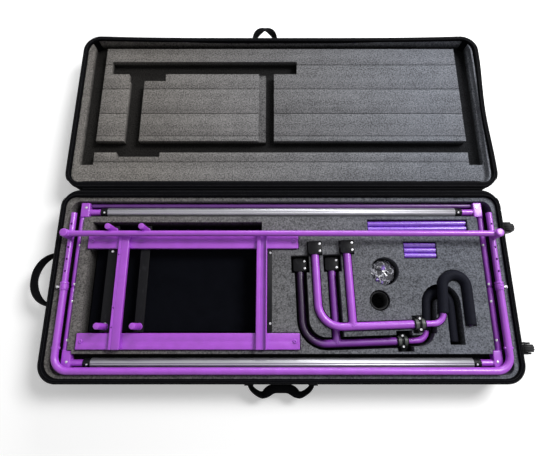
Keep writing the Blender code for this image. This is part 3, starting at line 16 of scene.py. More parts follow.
import bmesh
import bpy
import numpy as np
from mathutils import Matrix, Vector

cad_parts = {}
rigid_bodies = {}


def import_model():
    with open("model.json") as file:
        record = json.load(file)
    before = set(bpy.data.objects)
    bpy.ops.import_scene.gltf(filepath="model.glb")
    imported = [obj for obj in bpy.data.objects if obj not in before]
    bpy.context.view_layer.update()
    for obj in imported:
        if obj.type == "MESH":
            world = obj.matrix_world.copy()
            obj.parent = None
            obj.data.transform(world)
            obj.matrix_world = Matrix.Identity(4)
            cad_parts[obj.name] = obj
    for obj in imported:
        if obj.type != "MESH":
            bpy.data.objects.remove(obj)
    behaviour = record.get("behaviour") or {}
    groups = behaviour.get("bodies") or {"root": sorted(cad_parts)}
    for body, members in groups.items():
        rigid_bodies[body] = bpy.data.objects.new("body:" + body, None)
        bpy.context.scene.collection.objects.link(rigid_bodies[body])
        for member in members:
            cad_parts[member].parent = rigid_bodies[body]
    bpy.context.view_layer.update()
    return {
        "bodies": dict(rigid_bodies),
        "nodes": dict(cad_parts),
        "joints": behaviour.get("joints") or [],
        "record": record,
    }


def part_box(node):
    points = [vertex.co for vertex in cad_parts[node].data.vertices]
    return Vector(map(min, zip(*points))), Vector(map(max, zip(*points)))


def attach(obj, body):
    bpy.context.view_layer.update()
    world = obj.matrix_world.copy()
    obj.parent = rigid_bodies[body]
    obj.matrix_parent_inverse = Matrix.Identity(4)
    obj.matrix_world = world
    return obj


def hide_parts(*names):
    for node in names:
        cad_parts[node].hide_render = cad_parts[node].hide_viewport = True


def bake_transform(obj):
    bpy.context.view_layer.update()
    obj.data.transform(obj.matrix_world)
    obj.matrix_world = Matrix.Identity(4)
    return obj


LOG = logging.getLogger("quilting_frame")
Array = np.ndarray
Colour = tuple[float, float, float]
Point = Sequence[float]
Inputs = dict[Any, Any]
UP = (0.0, 0.0, 1.0)
ALONG = (1.0, 0.0, 0.0)
BACK = (0.0, 1.0, 0.0)
WHITE = (1.0, 1.0, 1.0, 1.0)
QUARTER = math.pi / 2
MERGE = 0.000002
CAD_MERGE = 0.00001
FLAT = math.radians(0.5)
SHARP = math.radians(32)
FRAME: dict[str, Any] = {}


class Slot(Enum):
    """The material slots of the part's record."""

    SHELL_CLOTH = "shell_cloth"
    WEBBING = "webbing"
    FOAM_GREY = "foam_grey"
    GRIP_FOAM = "grip_foam"
    BOARD_CLOTH = "board_cloth"
    POWDER_PURPLE = "powder_purple"
    VIOLET = "loose_tube_violet"
    ROLLER_SILVER = "roller_silver"
    STEEL = "bright_steel"
    PLASTIC = "black_plastic"
    RUBBER = "black_rubber"
    FILM = "clear_film"


class Side(Enum):
    """The two ends of the case, as signs along X."""

    LEFT = -1
    RIGHT = 1

    @property
    def word(self) -> str:
        """The side's name as the CAD nodes write it."""
        return self.name.lower()


class Half(Enum):
    """The two halves of the case, as the direction of the hinge seen from each."""

    BASE = 1
    LID = -1


class Surface(Enum):
    """What a pattern follows: the object's own space or the piece's UV map in metres."""

    OBJECT = "Object"
    CLOTH = "UV"


# Finishes


def add_node(tree: bpy.types.NodeTree, kind: str, inputs: Inputs | None = None, out: int | str = 0,
             **settings: Any) -> Any:
    """Add a node with its settings, and a value or a link for each input.

    Args:
        tree: The node tree.
        kind: The node's type without the ShaderNode prefix.
        inputs: A value or a socket for each input, by name or number.
        out: The output to return.
        **settings: Properties of the node.

    Returns:
        The output socket, or None for a node without outputs.
    """
    made = tree.nodes.new("ShaderNode" + kind)
    for key, value in settings.items():
        setattr(made, key, value)
    for key, value in (inputs or {}).items():
        if isinstance(value, bpy.types.NodeSocket):
            tree.links.new(value, made.inputs[key])
        else:
            made.inputs[key].default_value = value
    return made.outputs[out] if made.outputs else None


def shade(colour: Colour, factor: float) -> Colour:
    """A colour made lighter or darker.

    Args:
        colour: The colour.
        factor: What its channels are multiplied by.

    Returns:
        The colour.
    """
    return tuple(min(1.0, channel * factor) for channel in colour)


class Graph:
    """The node tree of one material, built around its Principled shader."""

    def __init__(self, name: str, surface: Surface = Surface.OBJECT) -> None:
        """Start a material whose patterns follow the given surface.

        Args:
            name: The material's name.
            surface: What its patterns follow.
        """
        self.material = bpy.data.materials.new(name)
        self.material.use_nodes = True
        self.tree = self.material.node_tree
        self.shader = self.tree.nodes["Principled BSDF"]
        self.spot = self.add("TexCoord", out=surface.value)
        self.normal: Any = None

    def add(self, kind: str, inputs: Inputs | None = None, out: int | str = 0, **settings: Any) -> Any:
        """Add a node to this tree, as add_node does."""
        return add_node(self.tree, kind, inputs, out, **settings)

    def math(self, operation: str, first: Any, second: Any = 0.0) -> Any:
        """One arithmetic step on two values."""
        return self.add("Math", {0: first, 1: second}, operation=operation)

    def part(self, axis: int) -> Any:
        """One coordinate of the surface."""
        return self.add("SeparateXYZ", {0: self.spot}, out=axis)

    def noise(self, scale: float, detail: float = 2.0, stretch: Point = (1.0, 1.0, 1.0)) -> Any:
        """Noise from 0 to 1 with features of about 1 / scale metres, divided along each axis by stretch."""
        where = self.add("Mapping", {"Vector": self.spot, "Scale": stretch})
        return self.add("TexNoise", {"Vector": where, "Scale": scale, "Detail": detail})

    def cells(self, scale: float) -> Any:
        """Distances to the centres of cells about 1 / scale metres wide."""
        return self.add("TexVoronoi", {"Vector": self.spot, "Scale": scale})

    def span(self, value: Any, low: float, high: float, start: float = 0.3, end: float = 0.7) -> Any:
        """A value stretched from start..end to low..high and held there."""
        return self.add("MapRange", {0: value, 1: start, 2: end, 3: low, 4: high})

    def mix(self, share: Any, first: Any, second: Any) -> Any:
        """The first colour turning into the second.

        Args:
            share: How far it has turned.
            first: The first colour.
            second: The second colour.

        Returns:
            The socket.
        """
        values = [(*c, 1.0) if isinstance(c, tuple) else c for c in (first, second)]
        return self.add("Mix", {0: share, 6: values[0], 7: values[1]}, out=2, data_type="RGBA")

    def wave(self, value: Any, length: float) -> Any:
        """Ridges |sin| along a value, one for each length."""
        return self.math("ABSOLUTE", self.math("SINE", self.math("MULTIPLY", value, math.pi / length)))

    def relief(self, height: Any, depth: float, strength: float = 1.0) -> None:
        """Add a bump of a height in metres per unit on top of those before it.

        Args:
            height: The height's socket.
            depth: The metres per unit of it.
            strength: How much of it shows.
        """
        inputs = {"Height": height, "Distance": depth, "Strength": strength}
        if self.normal is not None:
            inputs["Normal"] = self.normal
        self.normal = self.add("Bump", inputs)

    def finish(self, colour: Any, roughness: Any, **constants: float) -> bpy.types.Material:
        """Link the worked-out channels to the shader and set its constant ones.

        Args:
            colour: The colour, as a socket or three numbers.
            roughness: The roughness, as a socket or a number.
            **constants: Other inputs of the shader, in lower case with underscores.

        Returns:
            The material.
        """
        for name, value in (("Base Color", colour), ("Roughness", roughness), ("Normal", self.normal)):
            if isinstance(value, bpy.types.NodeSocket):
                self.tree.links.new(value, self.shader.inputs[name])
            else:
                self.shader.inputs[name].default_value = (*value, 1.0) if isinstance(value, tuple) else value
        for name, value in constants.items():
            self.shader.inputs[name.replace("_", " ").title().replace("Ior", "IOR")].default_value = value
        return self.material


@dataclass(frozen=True)
class Finish:
    """What all finishes share."""

    name: str
    slot: Slot
    colour: Colour
    roughness: float

    def material(self) -> bpy.types.Material:
        """The finish's material, which is made the first time it is asked for."""
        return bpy.data.materials.get(self.name) or self.build()

    def build(self) -> bpy.types.Material:
        """Make the material."""
        raise NotImplementedError


@dataclass(frozen=True)
class PowderCoat(Finish):
    """Glossy powder coat: fine orange peel, faint cloudiness, dust and rubbed spots.

    Between two places along X, the coat can turn from a dark share of its colour to the full one: painted
    shade.
    """

    peel: float = 900.0
    depth: float = 0.00005
    coat: float = 0.42
    fade: Point = ()
    faded: float = 0.12
    cloud: float = 28.0
    dust: float = 650.0
    dust_colour: Colour = (0.62, 0.50, 0.70)
    rub: float = 75.0

    def build(self) -> bpy.types.Material:
        """Mix cloudiness, dust and any painted shade along X into the colour, and orange peel into the
        surface.

        Returns:
            The material.
        """
        graph = Graph(self.name)
        cloud = graph.span(graph.noise(self.cloud, 3.0), 0.0, 1.0)
        colour = graph.mix(cloud, shade(self.colour, 0.92), shade(self.colour, 1.08))
        # Painted shade: darker towards one end along X, where the part lies in shade.
        if self.fade:
            lit = graph.span(graph.part(0), 0.0, 1.0, *self.fade)
            colour = graph.mix(lit, shade(self.colour, self.faded), colour)
        dust = graph.span(graph.noise(self.dust), 0.0, 0.35, 0.68, 0.80)
        colour = graph.mix(dust, colour, self.dust_colour)
        roughness = graph.span(graph.noise(self.rub, 4.0), self.roughness - 0.06, self.roughness + 0.08)
        graph.relief(graph.noise(self.peel, 1.0), self.depth, 0.5)
        return graph.finish(colour, roughness, specular_ior_level=0.6, coat_weight=self.coat,
                            coat_roughness=0.14)


@dataclass(frozen=True)
class DrawnMetal(Finish):
    """Bare metal with fine lines along one direction."""

    stretch: Point = (0.01, 1.0, 1.0)
    lines: float = 1500.0
    metallic: float = 1.0
    smear: float = 18.0

    def build(self) -> bpy.types.Material:
        """Draw the lines in the colour, the roughness and the surface.

        Returns:
            The material.
        """
        graph = Graph(self.name)
        line = graph.noise(self.lines, 3.0, self.stretch)
        colour = graph.mix(graph.span(line, 0.0, 1.0), shade(self.colour, 0.84), self.colour)
        drawn = graph.span(line, self.roughness - 0.07, self.roughness + 0.07)
        roughness = graph.math("ADD", drawn, graph.span(graph.noise(self.smear, 3.0), -0.03, 0.07))
        graph.relief(line, 0.00003, 0.5)
        return graph.finish(colour, roughness, metallic=self.metallic)


@dataclass(frozen=True)
class Moulded(Finish):
    """Moulded plastic or rubber: a fine pebble, pale scuffs and a little dust."""

    grain: float = 1100.0
    depth: float = 0.00008
    scuff: float = 0.5
    shine: float = 0.3
    scuffs: float = 95.0
    patches: float = 240.0

    def build(self) -> bpy.types.Material:
        """Mix scuffs into the colour and pebble into the surface.

        Returns:
            The material.
        """
        graph = Graph(self.name)
        scuff = graph.span(graph.noise(self.scuffs, 5.0, (1.0, 0.4, 1.0)), 0.0, self.scuff, 0.56, 0.72)
        colour = graph.mix(scuff, self.colour, tuple(channel * 2.4 + 0.012 for channel in self.colour))
        roughness = graph.span(graph.noise(self.patches, 3.0), self.roughness - 0.08, self.roughness + 0.10)
        graph.relief(graph.cells(self.grain), self.depth, 0.6)
        return graph.finish(colour, roughness, specular_ior_level=self.shine)


@dataclass(frozen=True)
class Woven(Finish):
    """Plain-woven cloth: threads cross over and under in a checker of one pitch, with sheen and lint."""

    surface: Surface = Surface.CLOTH
    pitch: float = 0.0011
    sheen: float = 0.008
    worn: float = 26.0
    lint: float = 420.0

    def build(self) -> bpy.types.Material:
        """Make threads of |sin| profile, and pick warp or weft by a checker.

        Returns:
            The material.
        """
        graph = Graph(self.name, self.surface)
        where = graph.add("Mapping", {"Vector": graph.spot, "Scale": (1.0 / self.pitch,) * 3})
        warp, weft = (graph.wave(graph.add("SeparateXYZ", {0: where}, out=axis), 1.0) for axis in (0, 1))
        over = graph.add("TexChecker", {"Vector": where, "Scale": 1.0}, out=1)
        thread = graph.add("Mix", {0: over, 2: warp, 3: weft}, data_type="FLOAT")
        worn = graph.noise(self.worn, 4.0)
        lint = graph.span(graph.noise(self.lint, 3.0), 0.0, 0.5, 0.62, 0.80)
        colour = graph.mix(thread, shade(self.colour, 0.45), shade(self.colour, 1.25))
        colour = graph.mix(graph.span(worn, 0.0, 0.35), colour, shade(self.colour, 2.0))
        colour = graph.mix(lint, colour, shade(self.colour, 4.0))
        graph.relief(thread, self.pitch * 0.22, 0.8)
        graph.relief(worn, 0.0012, 0.3)
        return graph.finish(colour, self.roughness, specular_ior_level=0.03, sheen_weight=self.sheen,
                            sheen_roughness=0.45)


@dataclass(frozen=True)
class Webbing(Finish):
    """Woven tape: ribs along it, crossed by a herringbone of slanted threads."""

    rib: float = 0.0016
    slant: float = 0.0024
    worn: float = 60.0

    def build(self) -> bpy.types.Material:
        """Work out the ribs as a sine across the tape, and slanted threads that turn at each rib.

        Returns:
            The material.
        """
        graph = Graph(self.name, Surface.CLOTH)
        across, along = graph.part(0), graph.part(1)
        zigzag = graph.math("ADD", along, graph.math("PINGPONG", across, self.rib))
        slanted = graph.math("SINE", graph.math("MULTIPLY", zigzag, math.tau / self.slant))
        thread = graph.span(slanted, 0.0, 1.0, -1.0, 1.0)
        height = graph.math("MULTIPLY", graph.wave(across, self.rib), thread)
        worn = graph.math("MULTIPLY", graph.span(graph.noise(self.worn, 4.0), 0.0, 1.0), 0.3)
        colour = graph.mix(height, shade(self.colour, 0.5), shade(self.colour, 1.6))
        colour = graph.mix(worn, colour, shade(self.colour, 2.6))
        graph.relief(height, 0.0003, 0.8)
        return graph.finish(colour, self.roughness, specular_ior_level=0.02, sheen_weight=0.006)


@dataclass(frozen=True)
class CellFoam(Finish):
    """Cut closed-cell foam: open cells on the cut face, mottling, layers, and painted warm and cool light at
    its ends.

    Below its top the foam's colour darkens with depth: painted shade in its pockets.
    """

    dark: float = 0.16
    top: float = 0.0998
    lined: float = 0.056
    cell: float = 420.0
    speckle: float = 215.0
    grit: float = 1250.0
    mottle: float = 17.0
    layer: float = 46.0
    warm: Colour = (1.06, 1.0, 0.92)
    cool: Colour = (0.94, 0.99, 1.10)
    ends: Point = (-0.5, 0.55)

    def build(self) -> bpy.types.Material:
        """Speckle the colour at the size of the cells and pit the surface with them.

        Returns:
            The material.
        """
        graph = Graph(self.name)
        # Painted light: the colour turns from a warm tint at the left end to a cool one at the right.
        end = graph.span(graph.part(0), 0.0, 1.0, *self.ends)
        tints = [tuple(a * b for a, b in zip(self.colour, tint)) for tint in (self.warm, self.cool)]
        fine = graph.noise(self.grit)
        tone = graph.span(graph.noise(self.speckle, 3.0), 0.40, 1.60)
        for broad in (graph.noise(self.mottle, 3.0), graph.noise(self.layer, 2.0, (0.03, 1.0, 1.0))):
            tone = graph.math("ADD", tone, graph.span(broad, -0.10, 0.10))
        tone = graph.math("MULTIPLY", tone, graph.span(fine, 0.86, 1.14))
        # Painted shade: the colour darkens with depth below the top, down towards the pocket floors.
        depth = graph.span(graph.part(2), self.dark, 1.0, self.lined, self.top - 0.0015)
        scale = graph.math("MULTIPLY", tone, depth)
        colour = graph.add("VectorMath", {0: graph.mix(end, *tints), "Scale": scale}, operation="SCALE")
        graph.relief(graph.cells(self.cell), 0.0005, 0.6)
        graph.relief(fine, 0.0003, 0.5)
        return graph.finish(colour, self.roughness, specular_ior_level=0.08)


@dataclass(frozen=True)
class SkinFoam(Finish):
    """A foam sleeve with a soft closed skin."""

    crease: float = 160.0
    pore: float = 1600.0

    def build(self) -> bpy.types.Material:
        """Give the skin fine creases and a soft sheen.

        Returns:
            The material.
        """
        graph = Graph(self.name)
        crease, pore = graph.noise(self.crease, 4.0), graph.noise(self.pore)
        colour = graph.mix(graph.span(crease, 0.0, 1.0), shade(self.colour, 0.8), shade(self.colour, 1.4))
        graph.relief(crease, 0.0006, 0.4)
        graph.relief(pore, 0.00018, 0.5)
        roughness = graph.span(pore, self.roughness - 0.05, self.roughness + 0.1)
        return graph.finish(colour, roughness, specular_ior_level=0.09, sheen_weight=0.012)


@dataclass(frozen=True)
class Film(Finish):
    """Thin clear film with fine wrinkles, and painted white highlights along their ridges."""

    opacity: float = 0.10
    ridge: float = 0.75
    wrinkle: float = 42.0

    def build(self) -> bpy.types.Material:
        """Wrinkle the surface and leave it mostly clear.

        Returns:
            The material.
        """
        graph = Graph(self.name)
        crumple = graph.noise(self.wrinkle, 4.0, (1.0, 0.45, 1.0))
        fold = graph.math("ABSOLUTE", graph.math("SUBTRACT", crumple, 0.5))
        # Painted highlight: the white film shows more along the wrinkles' ridges.
        highlight_alpha = graph.span(fold, self.ridge, self.opacity, 0.004, 0.035)
        graph.tree.links.new(highlight_alpha, graph.shader.inputs["Alpha"])
        graph.relief(crumple, 0.004, 0.7)
        return graph.finish(self.colour, self.roughness, specular_ior_level=0.8)


PURPLE = PowderCoat("purple_powder_coat", Slot.POWDER_PURPLE, (0.38, 0.068, 0.60), 0.37, coat=0.28)
# Painted shade: a darkened copy of the purple for the spreader bar in the shade of the hinge channel.
HINGE_SHADE_PURPLE = PowderCoat("purple_in_hinge_channel", Slot.POWDER_PURPLE, (0.10, 0.018, 0.18), 0.40, coat=0.10)
# Painted shade: a darkened copy of the purple for the lower arm deep in its pocket, darker still along its
# near leg.
POCKET_SHADE_PURPLE = PowderCoat("purple_in_deep_pocket", Slot.POWDER_PURPLE, (0.20, 0.034, 0.34), 0.40, coat=0.20,
                   fade=(0.085, 0.150))
VIOLET = PowderCoat("violet_coat", Slot.VIOLET, (0.22, 0.07, 0.60), 0.28)
SILVER = DrawnMetal("roller_aluminium", Slot.ROLLER_SILVER, (0.42, 0.42, 0.45), 0.40, metallic=0.80)
STEEL = DrawnMetal("turned_steel", Slot.STEEL, (0.62, 0.62, 0.64), 0.34, (1.0, 1.0, 0.05), 900.0)
PLASTIC = Moulded("moulded_black", Slot.PLASTIC, (0.0050, 0.0050, 0.0062), 0.44, shine=0.12)
SMOKED = Moulded("smoked_plastic", Slot.PLASTIC, (0.055, 0.060, 0.056), 0.40, shine=0.45)
RUBBER = Moulded("tyre_rubber", Slot.RUBBER, (0.006, 0.006, 0.007), 0.60, 700.0, 0.00012, 0.5, 0.25)
THREAD = Moulded("sewing_thread", Slot.WEBBING, (0.014, 0.014, 0.016), 0.60, 2500.0, 0.00003, 0.0, 0.2)
CLOTH = Woven("case_cloth", Slot.SHELL_CLOTH, (0.0035, 0.0035, 0.0042), 0.85)
BOARD = Woven("board_cover_cloth", Slot.BOARD_CLOTH, (0.0030, 0.0033, 0.0050), 0.92, Surface.OBJECT,
              0.0022, 0.002)
BINDING = Webbing("binding_tape", Slot.SHELL_CLOTH, (0.0024, 0.0024, 0.0032), 0.66, 0.0011, 0.0016)
TAPE = Webbing("webbing_tape", Slot.WEBBING, (0.0036, 0.0036, 0.0042), 0.70)
# Both foams darken below their tops as painted shade in their pockets, and carry painted warm and cool light
# at their ends.
BASE_FOAM = CellFoam("grey_foam", Slot.FOAM_GREY, (0.130, 0.131, 0.136), 0.95)
LID_FOAM = CellFoam("lid_grey_foam", Slot.FOAM_GREY, (0.150, 0.150, 0.153), 0.95, 0.09, 0.083, 0.060)
GRIP = SkinFoam("grip_foam_skin", Slot.GRIP_FOAM, (0.0055, 0.006, 0.011), 0.66)
FILM = Film("pouch_film", Slot.FILM, (0.86, 0.86, 0.96), 0.14)


# Surfaces


def unit(vectors: Array) -> Array:
    """Vectors brought to a length of one."""
    return vectors / np.maximum(np.linalg.norm(vectors, axis=-1, keepdims=True), 1e-12)


def angles(count: int) -> Array:
    """Angles at equal steps round a circle."""
    return np.linspace(0, math.tau, count, endpoint=False)


def quarter_arc(radius: float, steps: int) -> tuple[Array, Array]:
    """A rounded edge, as its insets radius * (1 - sin a) and its heights radius * (1 - cos a)."""
    turn = np.linspace(0, QUARTER, steps + 1)
    return radius * (1 - np.sin(turn)), radius * (1 - np.cos(turn))


def axes_of(axis: Point) -> tuple[Array, Array, Array]:
    """An axis with two directions square to it.

    Args:
        axis: The direction.

    Returns:
        Its unit vector, a side and side turned about it.
    """
    along = unit(np.asarray(axis, float))
    side = unit(np.cross(UP if abs(along[2]) < 0.9 else ALONG, along))
    return along, side, np.cross(along, side)


def lengths_of(line: Array) -> Array:
    """The length passed at each point of a line."""
    return np.concatenate([[0.0], np.cumsum(np.linalg.norm(np.diff(line, axis=0), axis=1))])


def at_lengths(values: Array, passed: Array, where: Array) -> Array:
    """Values at a line's points, interpolated at given lengths along it."""
    return np.stack([np.interp(where, passed, column) for column in values.T], -1)


def bent_path(corners: Sequence[Point], bend: float, steps: int = 14) -> Array:
    """A path through corners, its inner corners rounded by arcs.

    The arc's point at share s is centre + (first * sin((1 - s) * turn) + last * sin(s * turn)) / sin(turn).

    Args:
        corners: The path's ends and corners.
        bend: The arcs' radius.
        steps: Steps in each arc.

    Returns:
        The path's points.
    """
    corners = np.asarray(corners, float)
    share = np.linspace(0, 1, steps + 1)[:, None]
    parts = [corners[:1]]
    for before, corner, after in zip(corners, corners[1:], corners[2:]):
        back, ahead = unit(before - corner), unit(after - corner)
        half = math.acos(float(back @ ahead)) / 2
        centre = corner + unit(back + ahead) * bend / math.sin(half)
        first, last = (corner + way * bend / math.tan(half) - centre for way in (back, ahead))
        turn = math.pi - 2 * half
        arc = first * np.sin((1 - share) * turn) + last * np.sin(share * turn)
        parts.append(centre + arc / math.sin(turn))
    return np.concatenate(parts + [corners[-1:]])


def path_frames(path: Array, up: Point = UP, closed: bool = False) -> tuple[Array, Array, Array]:
    """The directions at each point of a path.

    Args:
        path: The path's points.
        up: A direction that the path never takes.
        closed: Whether the last point joins the first.

    Returns:
        The tangents, side = up x tangent, and lift = tangent x side.
    """
    step = np.roll(path, -1, 0) - np.roll(path, 1, 0) if closed else np.gradient(path, axis=0)
    along = unit(step)
    side = unit(np.cross(np.asarray(up, float), along))
    return along, side, np.cross(along, side)


def ring_path(centre: Point, axis: Point, radius: float, other: float = 0.0, count: int = 48) -> Array:
    """The closed line where a round tube meets a flat face or another tube.

    It is centre + radius * (cos a * side + sin a * lift), raised by sqrt(other^2 - (radius * sin a)^2) along
    the axis, with lift square to both tubes.

    Args:
        centre: Where the tube's axis meets the face or the other tube's axis.
        axis: The tube's direction.
        radius: The tube's radius.
        other: The other tube's radius, or 0 for a flat face.
        count: Points on the line.

    Returns:
        The line's points.
    """
    along, side, lift = axes_of(axis)
    angle = angles(count)[:, None]
    rise = np.sqrt(np.maximum(other**2 - (radius * np.sin(angle)) ** 2, 0.0))
    return np.asarray(centre) + radius * (np.cos(angle) * side + np.sin(angle) * lift) + rise * along


def opened(mesh: bpy.types.Mesh, merge: float) -> bmesh.types.BMesh:
    """A mesh ready for edits, its points merged where they are nearer than merge.

    Args:
        mesh: The mesh to read.
        merge: How near points are that become one.

    Returns:
        The mesh to edit.
    """
    work = bmesh.new()
    work.from_mesh(mesh)
    bmesh.ops.remove_doubles(work, verts=work.verts, dist=merge)
    return work


def save(work: bmesh.types.BMesh, mesh: bpy.types.Mesh) -> None:
    """Write an edited mesh and let go of it."""
    work.to_mesh(mesh)
    work.free()


def new_piece(name: str) -> bpy.types.Object:
    """An object at the origin with an empty mesh.

    Args:
        name: Its name.

    Returns:
        The object.
    """
    piece = bpy.data.objects.new(name, bpy.data.meshes.new(name))
    bpy.context.scene.collection.objects.link(piece)
    return piece


class Shape:
    """The surfaces of one piece: points, four-cornered faces, and a UV in metres at each corner."""

    def __init__(self) -> None:
        """Start with nothing."""
        self.points: list[Array] = []
        self.faces: list[Array] = []
        self.uvs: list[Array] = []
        self.count = 0

    def grid(self, points: Array, wrap_rows: bool = False, wrap_columns: bool = True) -> "Shape":
        """Add a grid of points as faces. The UV is the mean length passed along its columns and rows.

        Args:
            points: The grid, as (rows, columns, 3).
            wrap_rows: Whether the last row joins the first.
            wrap_columns: Whether the last column joins the first.

        Returns:
            This shape.
        """
        rows, columns = points.shape[:2]
        row = np.arange(rows if wrap_rows else rows - 1)[:, None]
        column = np.arange(columns if wrap_columns else columns - 1)[None, :]
        lengths = []
        for axis in (1, 0):
            step = np.linalg.norm(np.roll(points, -1, axis) - points, axis=2)
            lengths.append(np.concatenate([[0.0], np.cumsum(step.max(axis=1 - axis))]))
        faces, uvs = [], []
        for down, over in ((0, 0), (0, 1), (1, 1), (1, 0)):
            faces.append((row + down) % rows * columns + (column + over) % columns)
            uvs.append(np.stack(np.broadcast_arrays(lengths[0][column + over], lengths[1][row + down]), -1))
        self.faces.append(np.stack(np.broadcast_arrays(*faces), -1).reshape(-1, 4) + self.count)
        self.uvs.append(np.stack(uvs, 2).reshape(-1, 2))
        self.points.append(points.reshape(-1, 3))
        self.count += rows * columns
        return self

    def strip(self, points: Array) -> "Shape":
        """Add a grid of closed rings, its ends closed to the middles of the first and last ring."""
        ends = points[[0, -1]].mean(1, keepdims=True) + points[[0, -1]] * 0.0
        return self.grid(np.concatenate([ends[:1], points, ends[1:]]))

    def tube(self, path: Any, radius: float, sides: int = 40, edge: float = 0.0008, steps: int = 1,
             bore: float = 0.0, up: Point = UP) -> "Shape":
        """Add a round tube along a path, its end edges rounded by quarter arcs.

        Args:
            path: The centre line's points.
            radius: The outer radius.
            sides: Points round the tube.
            edge: The radius of the end edges.
            steps: Steps in those edges.
            bore: The inner radius, or 0 for closed ends.
            up: A direction that the path never takes.

        Returns:
            This shape.
        """
        path = np.asarray(path, float)
        along, side, lift = path_frames(path, up)
        last = len(path) - 1
        inset, back = quarter_arc(edge, steps)
        rim = radius - inset
        middle = np.arange(1, last)
        index = np.concatenate([np.zeros(steps + 2, int), middle, np.full(steps + 2, last)])
        shift = np.concatenate([[0.0], back, middle * 0.0, -back[::-1], [0.0]])
        reach = np.concatenate([[bore], rim, middle * 0.0 + radius, rim[::-1], [bore]])
        if bore:
            index = np.concatenate([index, middle[::-1]])
            shift = np.concatenate([shift, middle * 0.0])
            reach = np.concatenate([reach, middle * 0.0 + bore])
        angle = angles(sides)[None, :, None]
        ring = np.cos(angle) * side[index][:, None] + np.sin(angle) * lift[index][:, None]
        centre = path[index] + shift[:, None] * along[index]
        return self.grid(centre[:, None] + reach[:, None, None] * ring, wrap_rows=bore > 0)

    def lathe(self, profile: Sequence[Point], centre: Point, axis: Point = UP, sides: int = 48,
              swell: Any = 1.0, rows: slice = slice(0), ring: bool = False) -> "Shape":
        """Add a profile of (radius, height) turned about an axis.

        Args:
            profile: The profile's points.
            centre: Where height 0 is.
            axis: The direction of height.
            sides: Points round the axis.
            swell: A factor on the radius at each side.
            rows: The profile points that have this factor.
            ring: Whether the last profile point joins the first.

        Returns:
            This shape.
        """
        profile = np.asarray(profile, float)
        along, side, lift = axes_of(axis)
        angle = angles(sides)[None, :, None]
        reach = np.repeat(profile[:, :1], sides, 1)
        reach[rows] = reach[rows] * swell
        height = profile[:, 1][:, None, None] * along
        around = np.cos(angle) * side + np.sin(angle) * lift
        return self.grid(np.asarray(centre, float) + height + reach[..., None] * around, wrap_rows=ring)

    def block(self, low: Point, high: Point, edge: float, steps: int = 3) -> "Shape":
        """Add a box with rounded edges: a sphere's grid whose eight parts are pulled out to the corners.

        Args:
            low: The lowest corner.
            high: The highest corner.
            edge: The edges' radius.
            steps: Steps in each edge.

        Returns:
            This shape.
        """
        low, high = np.asarray(low, float), np.asarray(high, float)
        core, quarter = (high - low) / 2 - edge, np.linspace(0, QUARTER, steps + 1)
        turn = (np.arange(4)[:, None] * QUARTER + quarter).ravel()
        rise = np.concatenate([quarter - QUARTER, quarter])[:, None]
        x = np.repeat([1, -1, -1, 1], steps + 1) * core[0] + edge * np.cos(rise) * np.cos(turn)
        y = np.repeat([1, 1, -1, -1], steps + 1) * core[1] + edge * np.cos(rise) * np.sin(turn)
        z = np.repeat([-1, 1], steps + 1)[:, None] * core[2] + edge * np.sin(rise) + turn * 0.0
        poles = np.zeros((2, 1, len(turn), 3))
        poles[:, 0, :, 2] = (np.array([-1, 1]) * (core[2] + edge))[:, None]
        return self.grid(np.concatenate([poles[0], np.stack([x, y, z], -1), poles[1]]) + (low + high) / 2)

    def seed(self, size: Point, edge: float) -> "Shape":
        """Add a small rounded box about the origin."""
        half = np.asarray(size) / 2
        return self.block(-half, half, edge, 1)

    def weld(self, path: Array, radius: float, ripples: int = 22, up: Point = UP) -> "Shape":
        """Add a weld bead on a closed line: a tube whose radius ripples by a fifth along it.

        Args:
            path: The line's points.
            radius: The bead's mean radius.
            ripples: Ripples on the whole line.
            up: A direction that the line never takes.

        Returns:
            This shape.
        """
        _, side, lift = path_frames(path, up, closed=True)
        size = radius * (1 + 0.2 * np.sin(np.linspace(0, math.tau * ripples, len(path), endpoint=False)))
        angle = angles(10)[None, :, None]
        ring = np.cos(angle) * side[:, None] + np.sin(angle) * lift[:, None]
        return self.grid(path[:, None] + size[:, None, None] * ring, wrap_rows=True)

    def bolts(self, centres: Iterable[Point], axis: Point, radius: float, height: float) -> "Shape":
        """Add button-head bolts: turned heads whose recess is a hexagon, cos 30 / cos(angle - 30) wide.

        Args:
            centres: The places of the heads' feet.
            axis: The direction of the heads.
            radius: The heads' radius.
            height: The heads' height.

        Returns:
            This shape.
        """
        sixth = math.pi / 3
        hexagon = math.cos(sixth / 2) / np.cos(angles(24) % sixth - sixth / 2)
        rows = [(0, 0), (1, 0), (1, 0.5), (0.94, 0.8), (0.78, 1), (0.52, 1), (0.48, 0.4), (0, 0.35)]
        head = [(radius * out, height * rise) for out, rise in rows]
        for centre in centres:
            self.lathe(head, centre, axis, 24, hexagon, slice(5, 7))
        return self

    def band(self, path: Array, width: Array, thick: Any, twist: Array, power: float = 0.3,
             sides: int = 20) -> "Shape":
        """Add a strap whose section, (w/2 |cos a|^p, t/2 |sin a|^p) with signs, is turned by twist.

        Args:
            path: The centre line's points.
            width: The width at each point, level where the strap isn't twisted.
            thick: The thickness at each point.
            twist: The turn about the path at each point.
            power: 0 is a sharp rectangle and 1 is round.
            sides: Points round the section.

        Returns:
            This shape.
        """
        _, side, lift = path_frames(path)
        width, thick, twist = (np.broadcast_to(value, len(path))[:, None] for value in (width, thick, twist))
        angle = angles(sides)[None, :]
        flat = width / 2 * np.sign(np.cos(angle)) * np.abs(np.cos(angle)) ** power
        tall = thick / 2 * np.sign(np.sin(angle)) * np.abs(np.sin(angle)) ** power
        across = flat * np.cos(twist) - tall * np.sin(twist)
        out = flat * np.sin(twist) + tall * np.cos(twist)
        return self.strip(path[:, None] + across[..., None] * side[:, None] + out[..., None] * lift[:, None])

